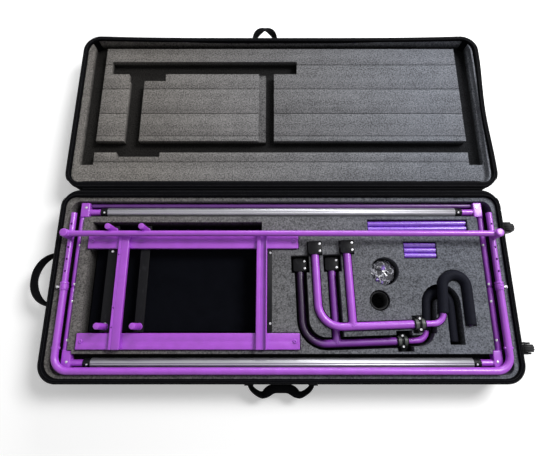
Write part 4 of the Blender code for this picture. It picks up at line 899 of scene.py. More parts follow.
    def scatter(self, seed: "Shape", origins: Array, axes: Array) -> "Shape":
        """Add a copy of a small shape at each origin.

        Args:
            seed: The small shape.
            origins: Where its copies go.
            axes: A 3 x 3 matrix for each copy, or one for all, whose rows are its X, Y and Z.

        Returns:
            This shape.
        """
        points, faces, uvs = (np.concatenate(part) for part in (seed.points, seed.faces, seed.uvs))
        copies = len(origins)
        axes = np.broadcast_to(axes, (copies, 3, 3))
        moved = origins[:, None] + np.einsum("pi,kij->kpj", points, axes)
        offset = (np.arange(copies) * len(points))[:, None, None] + self.count
        self.points.append(moved.reshape(-1, 3))
        self.faces.append((faces[None] + offset).reshape(-1, 4))
        self.uvs.append(np.tile(uvs, (copies, 1)))
        self.count += copies * len(points)
        return self

    def join(self, other: "Shape") -> "Shape":
        """Add another shape as it is."""
        return self.scatter(other, np.zeros((1, 3)), np.eye(3))

    def build(self, name: str, sharp: float = 40.0) -> bpy.types.Object:
        """Put the shape into a mesh object at the origin, with poles merged and faces turned outwards.

        Args:
            name: The object's name.
            sharp: The angle in degrees above which an edge is shaded sharp.

        Returns:
            The object.
        """
        piece = new_piece(name)
        mesh = piece.data
        mesh.from_pydata(np.concatenate(self.points).tolist(), [], np.concatenate(self.faces).tolist())
        mesh.uv_layers.new(name="UVMap").data.foreach_set("uv", np.concatenate(self.uvs).ravel())
        work = opened(mesh, MERGE)
        bmesh.ops.recalc_face_normals(work, faces=work.faces)
        save(work, mesh)
        smooth(mesh, sharp)
        return piece


def smooth(mesh: bpy.types.Mesh, sharp: float = 35.0) -> None:
    """Shade a mesh smooth, apart from edges sharper than an angle in degrees."""
    mesh.shade_smooth()
    mesh.set_sharp_from_angle(angle=math.radians(sharp))


def dress(piece: bpy.types.Object, finish: Finish, body: str | None, *nodes: str) -> bpy.types.Object:
    """Give a piece its finish, put it on a body and let it stand for CAD nodes.

    Args:
        piece: The piece.
        finish: Its finish.
        body: The body that it rides on, or None.
        *nodes: The CAD nodes that it stands for.

    Returns:
        The piece.
    """
    piece.data.materials.clear()
    piece.data.materials.append(finish.material())
    if body:
        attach(piece, body)
    if nodes:
        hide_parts(*nodes)
    LOG.info("%s: %s on %s, %d faces", piece.name, finish.name, body, len(piece.data.polygons))
    return piece


def show(shape: Shape, name: str, finish: Finish, body: str | None, *nodes: str,
         sharp: float = 40.0) -> bpy.types.Object:
    """Build a shape and dress it as a piece.

    Args:
        shape: The shape.
        name: The piece's name.
        finish: Its finish.
        body: The body that it rides on, or None.
        *nodes: The CAD nodes that it stands for.
        sharp: The angle in degrees above which an edge is shaded sharp.

    Returns:
        The piece.
    """
    return dress(shape.build(name, sharp), finish, body, *nodes)


def carve(piece: bpy.types.Object, shape: Shape) -> bpy.types.Object:
    """Cut a shape's closed surfaces out of a piece, and return it.

    Args:
        piece: The piece.
        shape: The closed surfaces.

    Returns:
        The piece.
    """
    tool = shape.build(piece.name + "_tool")
    step = piece.modifiers.new("carve", "BOOLEAN")
    step.operation, step.solver, step.object = "DIFFERENCE", "EXACT", tool
    bpy.context.view_layer.update()
    graph = bpy.context.evaluated_depsgraph_get()
    piece.data = bpy.data.meshes.new_from_object(piece.evaluated_get(graph))
    piece.modifiers.clear()
    bpy.data.objects.remove(tool, do_unlink=True)
    smooth(piece.data)
    return piece


def refined(node: str, name: str, finish: Finish, body: str, edge: float, steps: int = 2,
            cut: Shape | None = None) -> bpy.types.Object:
    """Show a merged copy of a CAD node's mesh, its sharp edges rounded, in place of the node.

    Args:
        node: The CAD node.
        name: The piece's name.
        finish: Its finish.
        body: The body that it rides on.
        edge: The radius of its edges, or 0 to leave them.
        steps: Steps in each edge.
        cut: Closed surfaces to cut out before the edges are rounded.

    Returns:
        The piece.
    """
    piece = new_piece(name)
    save(opened(bpy.data.objects[FRAME["nodes"][node].name].data, CAD_MERGE), piece.data)
    for extra in ("custom_normal", "sharp_face", "sharp_edge"):
        if extra in piece.data.attributes:
            piece.data.attributes.remove(piece.data.attributes[extra])
    if cut:
        carve(piece, cut)
    work = opened(piece.data, CAD_MERGE)
    bmesh.ops.dissolve_limit(work, angle_limit=FLAT, verts=work.verts, edges=work.edges)
    if edge:
        sharp = [e for e in work.edges if len(e.link_faces) == 2 and e.calc_face_angle() > SHARP]
        bmesh.ops.bevel(work, geom=sharp, offset=edge, segments=steps, profile=0.5, affect="EDGES",
                        clamp_overlap=True)
    save(work, piece.data)
    smooth(piece.data)
    return dress(piece, finish, body, node)


def box_of(node: str) -> tuple[Any, Any, Any]:
    """The lowest corner, the highest corner and the middle of a CAD node's box."""
    low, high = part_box(node)
    return low, high, (low + high) / 2


# The case


def turned(first: Array, second: Array, angle: Any) -> tuple[Array, Array]:
    """Two coordinates turned by an angle, from the first towards the second.

    Args:
        first: The first coordinate.
        second: The second coordinate.
        angle: The turn.

    Returns:
        Both after the turn.
    """
    cos, sin = np.cos(angle), np.sin(angle)
    return first * cos - second * sin, first * sin + second * cos


@dataclass(frozen=True)
class Outline:
    """A rounded rectangle seen from above. A point pulled in by an inset is point - inset * normal."""

    length: float
    depth: float
    centre: float
    corner: float
    arc_steps: int = 12
    side_steps: int = 20

    def samples(self) -> tuple[Array, Array]:
        """Points round the outline, from its back right corner on.

        Returns:
            The points and their outward normals.
        """
        turn = np.linspace(0, QUARTER, self.arc_steps + 1)
        share = np.linspace(0, 1, self.side_steps + 1)[1:-1, None]
        arcs, normals = [], []
        for quarter, (right, back) in enumerate(((1, 1), (-1, 1), (-1, -1), (1, -1))):
            angle = turn + quarter * QUARTER
            normal = np.stack([np.cos(angle), np.sin(angle)], -1)
            middle = np.array([right * (self.length / 2 - self.corner),
                               self.centre + back * (self.depth / 2 - self.corner)])
            arcs.append(middle + self.corner * normal)
            normals.append(np.concatenate([normal, normal[-1:] + share * 0.0]))
        points = []
        for arc, ahead in zip(arcs, arcs[1:] + arcs[:1]):
            points += [arc, arc[-1] + (ahead[0] - arc[-1]) * share]
        return np.concatenate(points), np.concatenate(normals)

    def rings(self, inset: Any, height: Any) -> Array:
        """The outline at several insets and heights.

        Args:
            inset: How far each ring is pulled in, as one value or one for each point.
            height: Each ring's height, in the same form.

        Returns:
            The rings' points, as (rings, points, 3).
        """
        points, normals = self.samples()
        inset, height = (np.broadcast_to(value.reshape(len(value), -1), (len(value), len(points)))
                         for value in (np.asarray(inset, float), np.asarray(height, float)))
        flat = points[None] - inset[..., None] * normals[None]
        return np.concatenate([flat, height[..., None]], -1)

    def walk(self, pitch: float) -> tuple[Array, Array, Array]:
        """Places at one pitch round the outline.

        Args:
            pitch: The distance from one to the next.

        Returns:
            The points, their outward normals and their tangents.
        """
        closed, normals = (np.concatenate([part, part[:1]]) for part in self.samples())
        passed = lengths_of(closed)
        where = np.arange(0.0, passed[-1] - pitch / 2, pitch)
        ways = unit(at_lengths(normals, passed, where))
        return at_lengths(closed, passed, where), ways, np.stack([-ways[:, 1], ways[:, 0]], -1)


@dataclass
class CaseHalf:
    """One soft half of the case: cloth walls, bound and stitched rim, piping, and a zip on three sides.

    The walls bulge as far as firm_x, and the base's front and left walls more so, by the factors in slack.
    The rims lean out by base_lean and lid_lean. The lid's far rim leans in where |x| is below sunk.
    """

    half: Half
    body: str
    node: str
    wall: float = 0.0074
    inner_foot: float = 0.016
    bulge: float = 0.0014
    slack: Point = (6.0, 3.0)
    firm_x: float = 0.60
    corner: float = 0.060
    floor_edge: float = 0.014
    rim_low: float = 0.1001
    rim_high: float = 0.1095
    rim_width: float = 0.013
    hinge_width: float = 0.026
    base_lean: Point = (0.006, 0.005)
    lid_lean: float = 0.007
    sunk: float = 0.68
    wave: float = 0.0045
    wave_y: float = 0.865
    wave_rate: float = 12.96
    follow: float = 0.97
    piping: float = 0.0021
    piping_rows: Sequence[Point] = ((0.0012, 0.0989), (0.0030, 0.0075))
    overhang: float = 0.0007
    stitch: float = 0.0042
    stitch_size: Point = (0.0032, 0.0008, 0.0006)
    stitch_rows: Point = (0.74, 0.26)
    tape_low: float = 0.1018
    tape_high: float = 0.1086
    tooth: float = 0.0030
    tooth_size: Point = (0.0018, 0.0024, 0.0022)
    tooth_drop: float = 0.0011

    def __post_init__(self) -> None:
        """Read the half's outline from its CAD node, and work out its lean and its loose cloth."""
        low, high, _ = box_of(self.node)
        self.outline = Outline(high.x - low.x, high.y - low.y, (high.y + low.y) / 2, self.corner)
        points, normals = self.outline.samples()
        away, left, _ = self.facing(normals)
        loose = 1 + (self.slack[0] * away + self.slack[1] * left if self.half is Half.BASE else 0.0)
        self.loose = (points[:, 0] < self.firm_x) * (1 - self.to_hinge(normals) ** 2) * loose
        self.lean = self.lean_at(points, normals)

    def to_hinge(self, normals: Array) -> Array:
        """How far each normal points to the hinge, from 0 to 1."""
        return np.clip(normals[:, 1] * self.half.value, 0.0, 1.0)

    def facing(self, normals: Array) -> tuple[Array, Array, Array]:
        """How far each normal points away from the hinge, to the left and to the right, from 0 to 1."""
        ways = (-normals[:, 1] * self.half.value, -normals[:, 0], normals[:, 0])
        return tuple(np.clip(way, 0.0, 1.0) for way in ways)

    def lean_at(self, points: Array, normals: Array) -> Array:
        """How far the soft rim leans out: the lid's sinks in between its far corners and waves at the right.

        Args:
            points: Places on the outline.
            normals: Their outward normals.

        Returns:
            The lean at each place.
        """
        away, left, right = self.facing(normals)
        if self.half is Half.BASE:
            return self.base_lean[0] * away + self.base_lean[1] * left
        middle = 1 - np.minimum(np.abs(points[:, 0]) / self.sunk, 1.0) ** 4
        wave = self.wave + self.wave * np.cos((points[:, 1] - self.wave_y) * self.wave_rate)
        return self.lid_lean * left + wave * right * (1 - middle**8) - self.lid_lean * away * middle

    def rings(self, inset: Any, height: Any) -> Array:
        """Rings of the outline, leaning out with the square of their height.

        Args:
            inset: How far each ring is pulled in, as one value or one for each point.
            height: Each ring's height, in the same form.

        Returns:
            The rings' points, as (rings, points, 3).
        """
        inset, height = (value.reshape(len(value), -1)
                         for value in (np.asarray(inset, float), np.asarray(height, float)))
        return self.outline.rings(inset - (height / self.rim_high) ** 2 * self.lean, height)

    def build(self) -> None:
        """Make the half's pieces."""
        self.walls()
        self.rim()
        self.zip()
        self.stitches()

    def walls(self) -> None:
        """The cloth tray: up from the floor's middle, out, up the wall, over and down inside."""
        inset, z = quarter_arc(self.floor_edge, 6)
        rise = np.linspace(0, 1, 12)[1:]
        wall = self.floor_edge + (self.rim_low - self.floor_edge) * rise
        swell = np.concatenate([z * 0.0, np.sin(math.pi * rise), np.zeros(3)]) * self.bulge
        inset = np.concatenate([inset, rise * 0.0, [self.wall, self.wall, self.wall + 0.006]])
        z = np.concatenate([z, wall, [self.rim_low, self.inner_foot, self.wall]])
        rings = self.rings(inset[:, None] - swell[:, None] * self.loose, z)
        poles = rings[[0, -1]]
        poles[..., :2] = 0.0, self.outline.centre
        shape = Shape().grid(np.concatenate([poles[:1], rings, poles[1:]]))
        show(shape, f"{self.body}_cloth_walls", CLOTH, self.body, self.node, sharp=50.0)

    def rim_width_at(self, normals: Array) -> Array:
        """The rim's width at places with these normals: wider along the hinge."""
        return self.rim_width + (self.hinge_width - self.rim_width) * self.to_hinge(normals) ** 3

    def rim_top(self, share: Array) -> Array:
        """The rim's height at shares of its width, a flattened arch (1 - |2s - 1|^4)^(1/4)."""
        crown = np.maximum(1 - np.abs(2 * share - 1) ** 4, 0.0) ** 0.25
        return self.rim_low + (self.rim_high - self.rim_low) * crown

    def rim(self) -> None:
        """The bound rim as a flattened arch, and piping at its foot and along the floor."""
        normals = self.outline.samples()[1]
        share = (1 - np.cos(np.linspace(0, math.pi, 17))) / 2
        rings = self.rings(share[:, None] * self.rim_width_at(normals), self.rim_top(share))
        show(Shape().grid(rings, wrap_rows=True), f"{self.body}_rim_binding", BINDING, self.body, sharp=60.0)
        turn, shape = angles(12), Shape()
        overhang = self.overhang * (1 - self.to_hinge(normals))
        for middle, height in self.piping_rows:
            inset = middle - self.piping * np.cos(turn)[:, None] - overhang
            shape.grid(self.rings(inset, height + self.piping * np.sin(turn)), wrap_rows=True)
        show(shape, f"{self.body}_piping", BINDING, self.body, sharp=60.0)

    def row(self, pitch: float, start: float = 0.0, hinged: bool = True) -> tuple[Array, Array, Array]:
        """Places at one pitch round the leaning outline.

        Args:
            pitch: The distance from one to the next.
            start: How far all of them are moved along.
            hinged: Whether the hinge side has them too.

        Returns:
            The points, their outward normals and their tangents.
        """
        spots, ways, runs = self.outline.walk(pitch)
        spots = spots + runs * start + ways * self.lean_at(spots, ways)[:, None] * self.follow
        kept = hinged | (ways[:, 1] * self.half.value < 0.5)
        return spots[kept], ways[kept], runs[kept]

    def copies(self, seed: Shape, row: tuple[Array, Array, Array], inset: Any, height: float) -> Shape:
        """Copies of a small shape whose X follows the outline and whose Y points outwards.

        Args:
            seed: The small shape.
            row: The places, their normals and their tangents.
            inset: How far they are pulled in, as one value or one for each.
            height: Their height.

        Returns:
            A shape of them all.
        """
        spots, ways, runs = row
        flat = spots - np.broadcast_to(inset, len(spots))[:, None] * ways
        origins = np.concatenate([flat, np.full((len(spots), 1), height)], 1)
        axes = np.zeros((len(spots), 3, 3))
        axes[:, 0, :2], axes[:, 1, :2], axes[:, 2, 2] = runs, ways, 1.0
        return Shape().scatter(seed, origins, axes)

    def zip(self) -> None:
        """The zip: tape on the rim's outer face, teeth on its top edge, and the base half's two sliders."""
        show(self.zip_tape(), f"{self.body}_zip_tape", TAPE, self.body)
        start = self.tooth * 0.25 * self.half.value
        row, height = self.row(self.tooth, start, False), self.rim_high - self.tooth_drop
        shape = self.copies(Shape().seed(self.tooth_size, 0.0004), row, -0.0004, height)
        show(shape, f"{self.body}_zip_teeth", PLASTIC, self.body)
        if self.half is Half.BASE:
            self.sliders(row, height)

    def zip_tape(self) -> Shape:
        """The tape as a thin closed strip on the rim's outer face, left out along the hinge.

        Returns:
            The tape's shape.
        """
        away = self.outline.samples()[1][:, 1] * self.half.value < 0.5
        start = int(np.argmax(away & ~np.roll(away, 1)))
        keep = np.roll(np.arange(len(away)), -start)[: int(away.sum())]
        inset = np.array([0.0002, -0.0010, -0.0011, 0.0002])
        rings = self.rings(inset, np.repeat([self.tape_low, self.tape_high], 2))[:, keep]
        return Shape().strip(np.transpose(rings, (1, 0, 2)))

    def sliders(self, row: tuple[Array, Array, Array], height: float) -> None:
        """A metal slider with a hanging pull near both ends of the zip, at the places of two teeth.

        Args:
            row: The places of the teeth, their normals and their tangents.
            height: The teeth's height.
        """
        seed = Shape().block((-0.006, -0.0022, -0.0045), (0.006, 0.0022, 0.0010), 0.0012)
        seed.block((-0.0022, 0.0020, -0.0310), (0.0022, 0.0034, -0.0030), 0.0006)
        seed.block((-0.0034, 0.0018, -0.0060), (0.0034, 0.0036, -0.0020), 0.0008)
        ends = tuple(part[[4, -5]] for part in row)
        show(self.copies(seed, ends, -0.0026, height), f"{self.body}_zip_sliders", STEEL, self.body)

    def stitches(self) -> None:
        """Two rows of stitches on the rim."""
        seed = Shape().seed(self.stitch_size, 0.00025)
        row, shape = self.row(self.stitch), Shape()
        width = self.rim_width_at(row[1])
        for share in self.stitch_rows:
            shape.join(self.copies(seed, row, width * share, self.rim_top(share)))
        show(shape, f"{self.body}_rim_stitches", THREAD, self.body)


@dataclass
class ClothHinge:
    """The cloth strip that joins both halves along the hinge."""

    reach: float = 0.690
    hinge: float = 0.3165
    gap: float = 0.0036
    foot: float = 0.090
    shoulder: float = 0.1045
    top: float = 0.1088
    bend: float = 0.0016
    thick: float = 0.0011

    def build(self) -> None:
        """Carry an inverted U along the hinge."""
        near, far = self.hinge - self.gap, self.hinge + self.gap
        corners = [(0.0, near, self.foot), (0.0, near, self.shoulder), (0.0, self.hinge, self.top),
                   (0.0, far, self.shoulder), (0.0, far, self.foot)]
        section = bent_path(corners, self.bend, 6)
        half = path_frames(section, ALONG)[1] * self.thick / 2
        shell = np.concatenate([section - half, (section + half)[::-1]])
        x = np.linspace(-self.reach, self.reach, 60)
        points = np.repeat(shell[None], len(x), 0)
        points[:, :, 0] += x[:, None]
        piece = show(Shape().strip(points), "hinge_cloth", CLOTH, None, sharp=60.0)
        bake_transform(piece)


@dataclass
class FoamBlock:
    """A fitted foam block: the cut slab, with a groove at each glue line and its edges rounded."""

    node: str
    body: str
    finish: CellFoam
    seams: Sequence[float]
    top: float
    reach: float = 0.730
    groove: float = 0.0014
    depth: float = 0.0024
    edge: float = 0.0009

    def build(self) -> None:
        """Cut the grooves, round the edges and give the block its cells."""
        tools = Shape()
        for y in self.seams:
            tools.block((-self.reach, y - self.groove, self.top - self.depth),
                        (self.reach, y + self.groove, self.top + 0.004), 0.0002, 1)
        piece = refined(self.node, f"{self.body}_foam_block", self.finish, self.body, self.edge,
                        cut=tools if self.seams else None)


@dataclass
class WebbingHandle:
    """A webbing loop on a wall: a strap that twists from the wall to its middle, sewn tabs and a grip.

    The loop hangs by droop, twists by twist and arches by rise. The tabs stand proud of the pivot.
    """

    name: str
    parent: str
    pivot: Point
    turn: float
    span: float
    out: float
    droop: float = 0.0
    width: float = 0.026
    thick: float = 0.0036
    twist: float = math.radians(76)
    grip: float = 0.0
    ears: float = 0.0
    rise: float = 0.0
    proud: float = 0.0
    hem_edge: float = 0.40
    hem_pitch: float = 0.004
    stitch_size: Point = (0.0028, 0.0008, 0.0006)
    tab_half: Point = (0.0145, 0.0165)
    tab_depth: Point = (0.0008, 0.0030)
    tab_hem: float = 0.0125
    tab_stitch: Point = (0.0028, 0.0006, 0.0008)

    def place(self, points: Array, droop: float) -> Array:
        """Turn points of the loop's own plane by the droop and about Z, and put them at the pivot.

        Args:
            points: The points, as (..., 3).
            droop: How far the loop hangs.

        Returns:
            Their places in the case.
        """
        y, z = turned(points[..., 1], points[..., 2], droop)
        x, y = turned(points[..., 0], y, self.turn)
        return np.stack([x, y, z], -1) + np.asarray(self.pivot)

    def line(self, angle: Array) -> Array:
        """The centre line: half an ellipse, pulled in at its middle by the share ears, arched by rise.

        Args:
            angle: Angles on the ellipse.

        Returns:
            The line's points.
        """
        pulled = 1 - self.ears * np.exp(-(((angle - QUARTER) / 0.5) ** 4))
        out = (self.out - self.width / 2) * np.sin(angle) * pulled
        return np.stack([self.span / 2 * np.cos(angle), -out, self.rise * np.sin(angle)], -1)

    def turn_at(self, angle: Array) -> Array:
        """The strap's turn about its line: none at the middle, most at the wall.

        Args:
            angle: Angles on the ellipse.

        Returns:
            The turns.
        """
        if self.grip:
            return self.twist * (1 - np.exp(-(((angle - QUARTER) / 0.55) ** 4)))
        return self.twist * np.abs(np.cos(angle)) ** 1.2

    def build(self) -> None:
        """Make the strap, its hems, the grip round its middle, and the tabs."""
        angle = np.linspace(0.0, math.pi, 61)
        width = self.width * (1 - 0.10 * np.abs(np.cos(angle)))
        strap = Shape().band(self.line(angle), width, self.thick, self.turn_at(angle))
        self.settle(strap, f"{self.name}_strap", TAPE, self.name)
        self.settle(self.hem(), f"{self.name}_stitches", THREAD)
        if self.grip:
            share = np.linspace(0.5 - self.grip / 2, 0.5 + self.grip / 2, 25) * math.pi
            fat = np.sqrt(1 - np.abs(np.linspace(-1, 1, 25)) ** 5)
            sleeve = Shape().band(self.line(share), self.width * (0.45 + 0.75 * fat), 0.0048 + 0.0060 * fat,
                                  self.turn_at(share), 0.6, 28)
            piece = self.settle(sleeve, f"{self.name}_grip", BINDING)
        self.tabs()

    def hem(self) -> Shape:
        """A row of stitches near both edges of the strap, on both of its faces.

        Returns:
            The stitches' shape.
        """
        seed, shape = Shape().seed(self.stitch_size, 0.00025), Shape()
        count = int((self.span + self.out) * 1.05 / self.hem_pitch)
        angle = np.linspace(0.05, math.pi - 0.05, count)
        path = self.line(angle)
        along, side, lift = path_frames(path)
        across, out = turned(side, lift, -self.turn_at(angle)[:, None])
        for edge in (-self.hem_edge, self.hem_edge):
            for face in (-1, 1):
                origins = path + across * self.width * edge + out * face * self.thick * 0.47
                shape.scatter(seed, origins, np.stack([along, across, out], 1))
        return shape

    def settle(self, shape: Shape, name: str, finish: Finish, *nodes: str) -> bpy.types.Object:
        """Place a shape of the loop's plane in the case and show it.

        Args:
            shape: The shape.
            name: The piece's name.
            finish: Its finish.
            *nodes: The CAD nodes that it stands for.

        Returns:
            The piece.
        """
        shape.points = [self.place(part, self.droop) for part in shape.points]
        piece = show(shape, name, finish, None, *nodes, sharp=50.0)
        outward = self.place(np.array([[0.0, -0.030, 0.0], [0.0, -0.004, 0.0]]), self.droop)
        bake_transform(piece)
        return piece

    def tabs(self) -> None:
        """The sewn tabs on the wall, with a box of stitches on each."""
        shape, thread, seed = Shape(), Shape(), Shape().seed(self.tab_stitch, 0.00025)
        upright = np.array([[0, 0, 1.0], [0, 1.0, 0], [-1.0, 0, 0]])
        (half, tall), (back, front) = self.tab_half, self.tab_depth
        place = np.arange(-0.011, 0.0111, 0.0044)
        sunk = place * 0.0 + 0.0007
        for x in (-self.span / 2, self.span / 2):
            shape.block((x - half, back, -tall), (x + half, front, tall), 0.0009)
            for line in (-self.tab_hem, self.tab_hem):
                thread.scatter(seed, np.stack([x + place, sunk, place * 0.0 + line], -1), np.eye(3))
                thread.scatter(seed, np.stack([place * 0.0 + x + line * 0.9, sunk, place], -1), upright)
        for part, name, finish in ((shape, "tabs", TAPE), (thread, "tab_stitches", THREAD)):
            part.points = [self.place(points - (0.0, self.proud, 0.0), 0.0) for points in part.points]
            show(part, f"{self.name}_{name}", finish, self.parent)


@dataclass
class CaseWheel:
    """A wheel with its tread, hub and axle, in a moulded fork that is screwed to the end wall.

    The hub's profile is given from the axle out, in shares of its radius and of the wheel's half width.
    """

    tag: str
    tread: float = 0.0013
    shoulder: float = 0.0035
    hub: float = 0.62
    hub_rows: Sequence[Point] = ((0.0, 0.98), (0.42, 0.98), (0.5, 0.5), (0.86, 0.5), (0.93, 0.94),
                                 (1.0, 0.94))
    bore: float = 0.0046
    spokes: int = 5
    spoke_radius: float = 0.0016
    axle_radius: float = 0.0039

    def build(self) -> None:
        """Make the tyre, hub, axle, fork and screws."""
        body = f"wheel_{self.tag}"
        low, high, centre = box_of(body)
        radius, half = (high.z - low.z) / 2, (high.y - low.y) / 2
        across = np.linspace(-1, 1, 15)
        grooves = (np.cos(across * 3 * math.pi) > 0.55) * (np.abs(across) < 0.8)
        crown = radius - self.shoulder * np.abs(across) ** 5 - self.tread * grooves
        inside = radius * self.hub
        profile = [(inside, -half), *zip(crown, across * half), (inside, half)]
        show(Shape().lathe(profile, centre, BACK, 64, ring=True), f"{body}_tyre", RUBBER, body, body)
        rows = [(max(inside * out, self.bore), half * rise) for out, rise in self.hub_rows]
        shape = Shape().lathe([(out, -rise) for out, rise in rows] + rows[::-1], centre, BACK, 48, ring=True)
        for spoke in np.arange(self.spokes) * math.tau / self.spokes:
            way = np.array([math.cos(spoke), 0.0, math.sin(spoke)])
            for face in (-1, 1):
                start = np.array(centre) + way * inside * 0.44 + np.array([0, face * half * 0.62, 0])
                shape.tube([start, start + way * inside * 0.46], self.spoke_radius, 10, up=BACK)
        show(shape, f"{body}_hub", PLASTIC, body)
        self.axle(centre)
        self.fork(f"wheel_bracket_{self.tag}")

    def axle(self, centre: Any) -> None:
        """The axle, with a bolt head at both ends.

        Args:
            centre: The wheel's centre.
        """
        node = f"wheel_axle_{self.tag}"
        low, high, _ = box_of(node)
        shape = Shape().tube([(centre.x, y, centre.z) for y in (low.y, high.y)], self.axle_radius)
        for y, way in ((low.y + 0.0004, -1), (high.y - 0.0004, 1)):
            shape.bolts([(centre.x, y, centre.z)], (0, way, 0), 0.0058, 0.0022)
        show(shape, f"{node}_bolt", STEEL, "case_base", node)

    def fork(self, node: str) -> None:
        """The moulded fork and the four screws in its plate.

        Args:
            node: The fork's CAD node.
        """
        refined(node, f"{node}_fork", PLASTIC, "case_base", 0.0009)
        low, high, _ = box_of(node)
        places = [(low.x + 0.0068, y, z) for y in (low.y + 0.005, high.y - 0.005)
                  for z in (low.z + 0.007, high.z - 0.007)]
        show(Shape().bolts(places, ALONG, 0.0032, 0.0018), f"{node}_screws", STEEL, "case_base")


# The roller frame


def under(radius: float, rows: Sequence[Point]) -> list[Point]:
    """A profile of (radius, height) from rows of (drop below a radius, height)."""
    return [(radius - drop, height) for drop, height in rows]


@dataclass
class RollerFrame:
    """Two silver rollers between welded side rails, with their bushings and the spreader bar."""

    rail_x: float = 0.688
    rail_radius: float = 0.0092
    rail_edge: float = 0.0020
    block_x: float = 0.678
    block_size: Point = (0.030, 0.052, 0.027)
    block_shift: Point = (0.012, 0.006)
    block_edge: float = 0.0034
    socket_radius: float = 0.011
    socket_end: float = 0.6246
    stub_radius: float = 0.005
    stub_reach: float = 0.590
    joint_y: float = -0.021
    joint_gap: float = 0.0025
    joint_sleeve: Point = (0.02, 0.0022)
    bolt_y: Sequence[float] = (0.120, -0.012, -0.068, -0.190)
    groove_angle: float = math.radians(99)
    groove_depth: float = 0.0012
    groove_width: float = 0.10
    roller_wall: float = 0.002
    roller_edge: float = 0.0007
    bushing_x: float = 0.6003
    bushing_bore: float = 0.0054
    bushing_rows: Sequence[Point] = ((0.003, 0.024), (0.0006, 0.021), (0.0006, 0.0190), (0.0, 0.0183),
                                     (0.0, 0.0135), (0.0010, 0.0128), (0.0010, 0.0060), (0.0, 0.0053),
                                     (0.0, 0.0006), (0.0006, 0.0))
    plug_radius: float = 0.0130
    plug_depth: float = 0.020

    def build(self) -> None:
        """Make both rollers, both rails and the bar."""
        for tag in ("back", "front"):
            self.roller(tag)
            for side in Side:
                self.bushing(tag, side)
        for side in Side:
            self.rail(side)
        low, high, middle = box_of("spreader_bar")
        shape = Shape().tube([(x, middle.y, middle.z) for x in (low.x, high.x)], (high.z - low.z) / 2)
        # The spreader bar gets the purple darkened as painted shade.
        show(shape, "spreader_tube", HINGE_SHADE_PURPLE, "roller_frame", "spreader_bar")

    def roller(self, tag: str) -> None:
        """A drawn tube with three lengthwise grooves, each a bell curve cut into the radius.

        Args:
            tag: Which roller.
        """
        low, high, middle = box_of(f"roller_{tag}")
        radius, length, edge, sides = (high.z - low.z) / 2, high.x - low.x, self.roller_edge, 120
        near = (angles(sides) - self.groove_angle + math.pi / 3) % (math.tau / 3) - math.pi / 3
        groove = 1 - self.groove_depth / radius * np.exp(-((near / self.groove_width) ** 4))
        rows = under(radius, [(self.roller_wall, 0), (edge, 0), (0, edge), (0, length - edge), (edge, length),
                              (self.roller_wall, length)])
        shape = Shape().lathe(rows, (low.x, middle.y, middle.z), ALONG, sides, groove, slice(1, 5), True)
        show(shape, f"roller_{tag}_tube", SILVER, f"roller_{tag}", f"roller_{tag}", sharp=60.0)

    def bushing(self, tag: str, side: Side) -> None:
        """A flanged plug with two ridges and a set screw.

        Args:
            tag: Which roller.
            side: Which end of it.
        """
        node = f"bushing_{tag}_{side.word}"
        low, high, centre = box_of(node)
        radius = (high.z - low.z) / 2
        centre.x = side.value * self.bushing_x
        rows = [(self.bushing_bore, self.bushing_rows[0][1]), *under(radius, self.bushing_rows),
                (self.plug_radius, 0.0), (self.plug_radius, -self.plug_depth),
                (self.bushing_bore, -self.plug_depth)]
        show(Shape().lathe(rows, centre, (side.value, 0, 0), 48, ring=True), f"{node}_plug", PLASTIC,
             f"roller_{tag}", node)
        spot = (centre.x + side.value * 0.0095, centre.y - 0.004, centre.z + radius * 0.90)
        screw = Shape().bolts([spot], (0, -0.26, 0.97), 0.0034, 0.0016)
        show(screw, f"{node}_screw", STEEL, f"roller_{tag}")

    def rail(self, side: Side) -> None:
        """A side rail: tube, two corner blocks, sockets, stub axles, weld beads and bolts.

        Args:
            side: Which end of the case.
        """
        node, sign = f"roller_rail_{side.word}", side.value
        front, back = (box_of(f"roller_{tag}")[2] for tag in ("front", "back"))
        x, z, joint, size = sign * self.rail_x, front.z, self.joint_y, np.array(self.block_size)
        shape, bolts = Shape(), Shape()
        for start, end in ((front.y + self.block_shift[0], joint - self.joint_gap),
                           (joint + self.joint_gap, back.y)):
            shape.tube([(x, start, z), (x, end, z)], self.rail_radius, edge=self.rail_edge, steps=3)
        reach, thin = self.joint_sleeve
        shape.tube([(x, joint - reach, z), (x, joint + reach, z)], self.rail_radius - thin)
        slope = np.array([-sign * 0.6, 0.0, 0.8])
        middle = slope * (self.rail_radius - 0.0005)
        bolts.bolts([np.array([x, y, z]) + middle for y in self.bolt_y], slope, 0.0042, 0.0022)
        face = self.block_x - size[0] / 2
        for y, shift, inward in zip((front.y, back.y), self.block_shift, (1, -1)):
            low = np.array([sign * self.block_x, y + shift, z]) - size / 2
            shape.block(low, low + size, self.block_edge, 4)
            shape.tube([(sign * (face + 0.004), y, z), (sign * self.socket_end, y, z)], self.socket_radius)
            shape.tube([(sign * face, y, z), (sign * self.stub_reach, y, z)], self.stub_radius, 24)
            shape.weld(ring_path((sign * face, y, z), (-sign, 0, 0), self.socket_radius + 0.0004), 0.0014)
            weld_y = y + shift + inward * size[1] / 2
            line = ring_path((x, weld_y, z), (0, inward, 0), self.rail_radius + 0.0003)
            shape.weld(line, 0.0015, up=ALONG)
            spot = (sign * (self.block_x - 0.004), y + shift - inward * 0.008, low[2] + size[2] - 0.0002)
            bolts.bolts([spot], UP, 0.0042, 0.0018)
        show(shape, f"{node}_welded", PURPLE, "roller_frame", node)
        show(bolts, f"{node}_bolts", STEEL, "roller_frame")


# The platform and its board


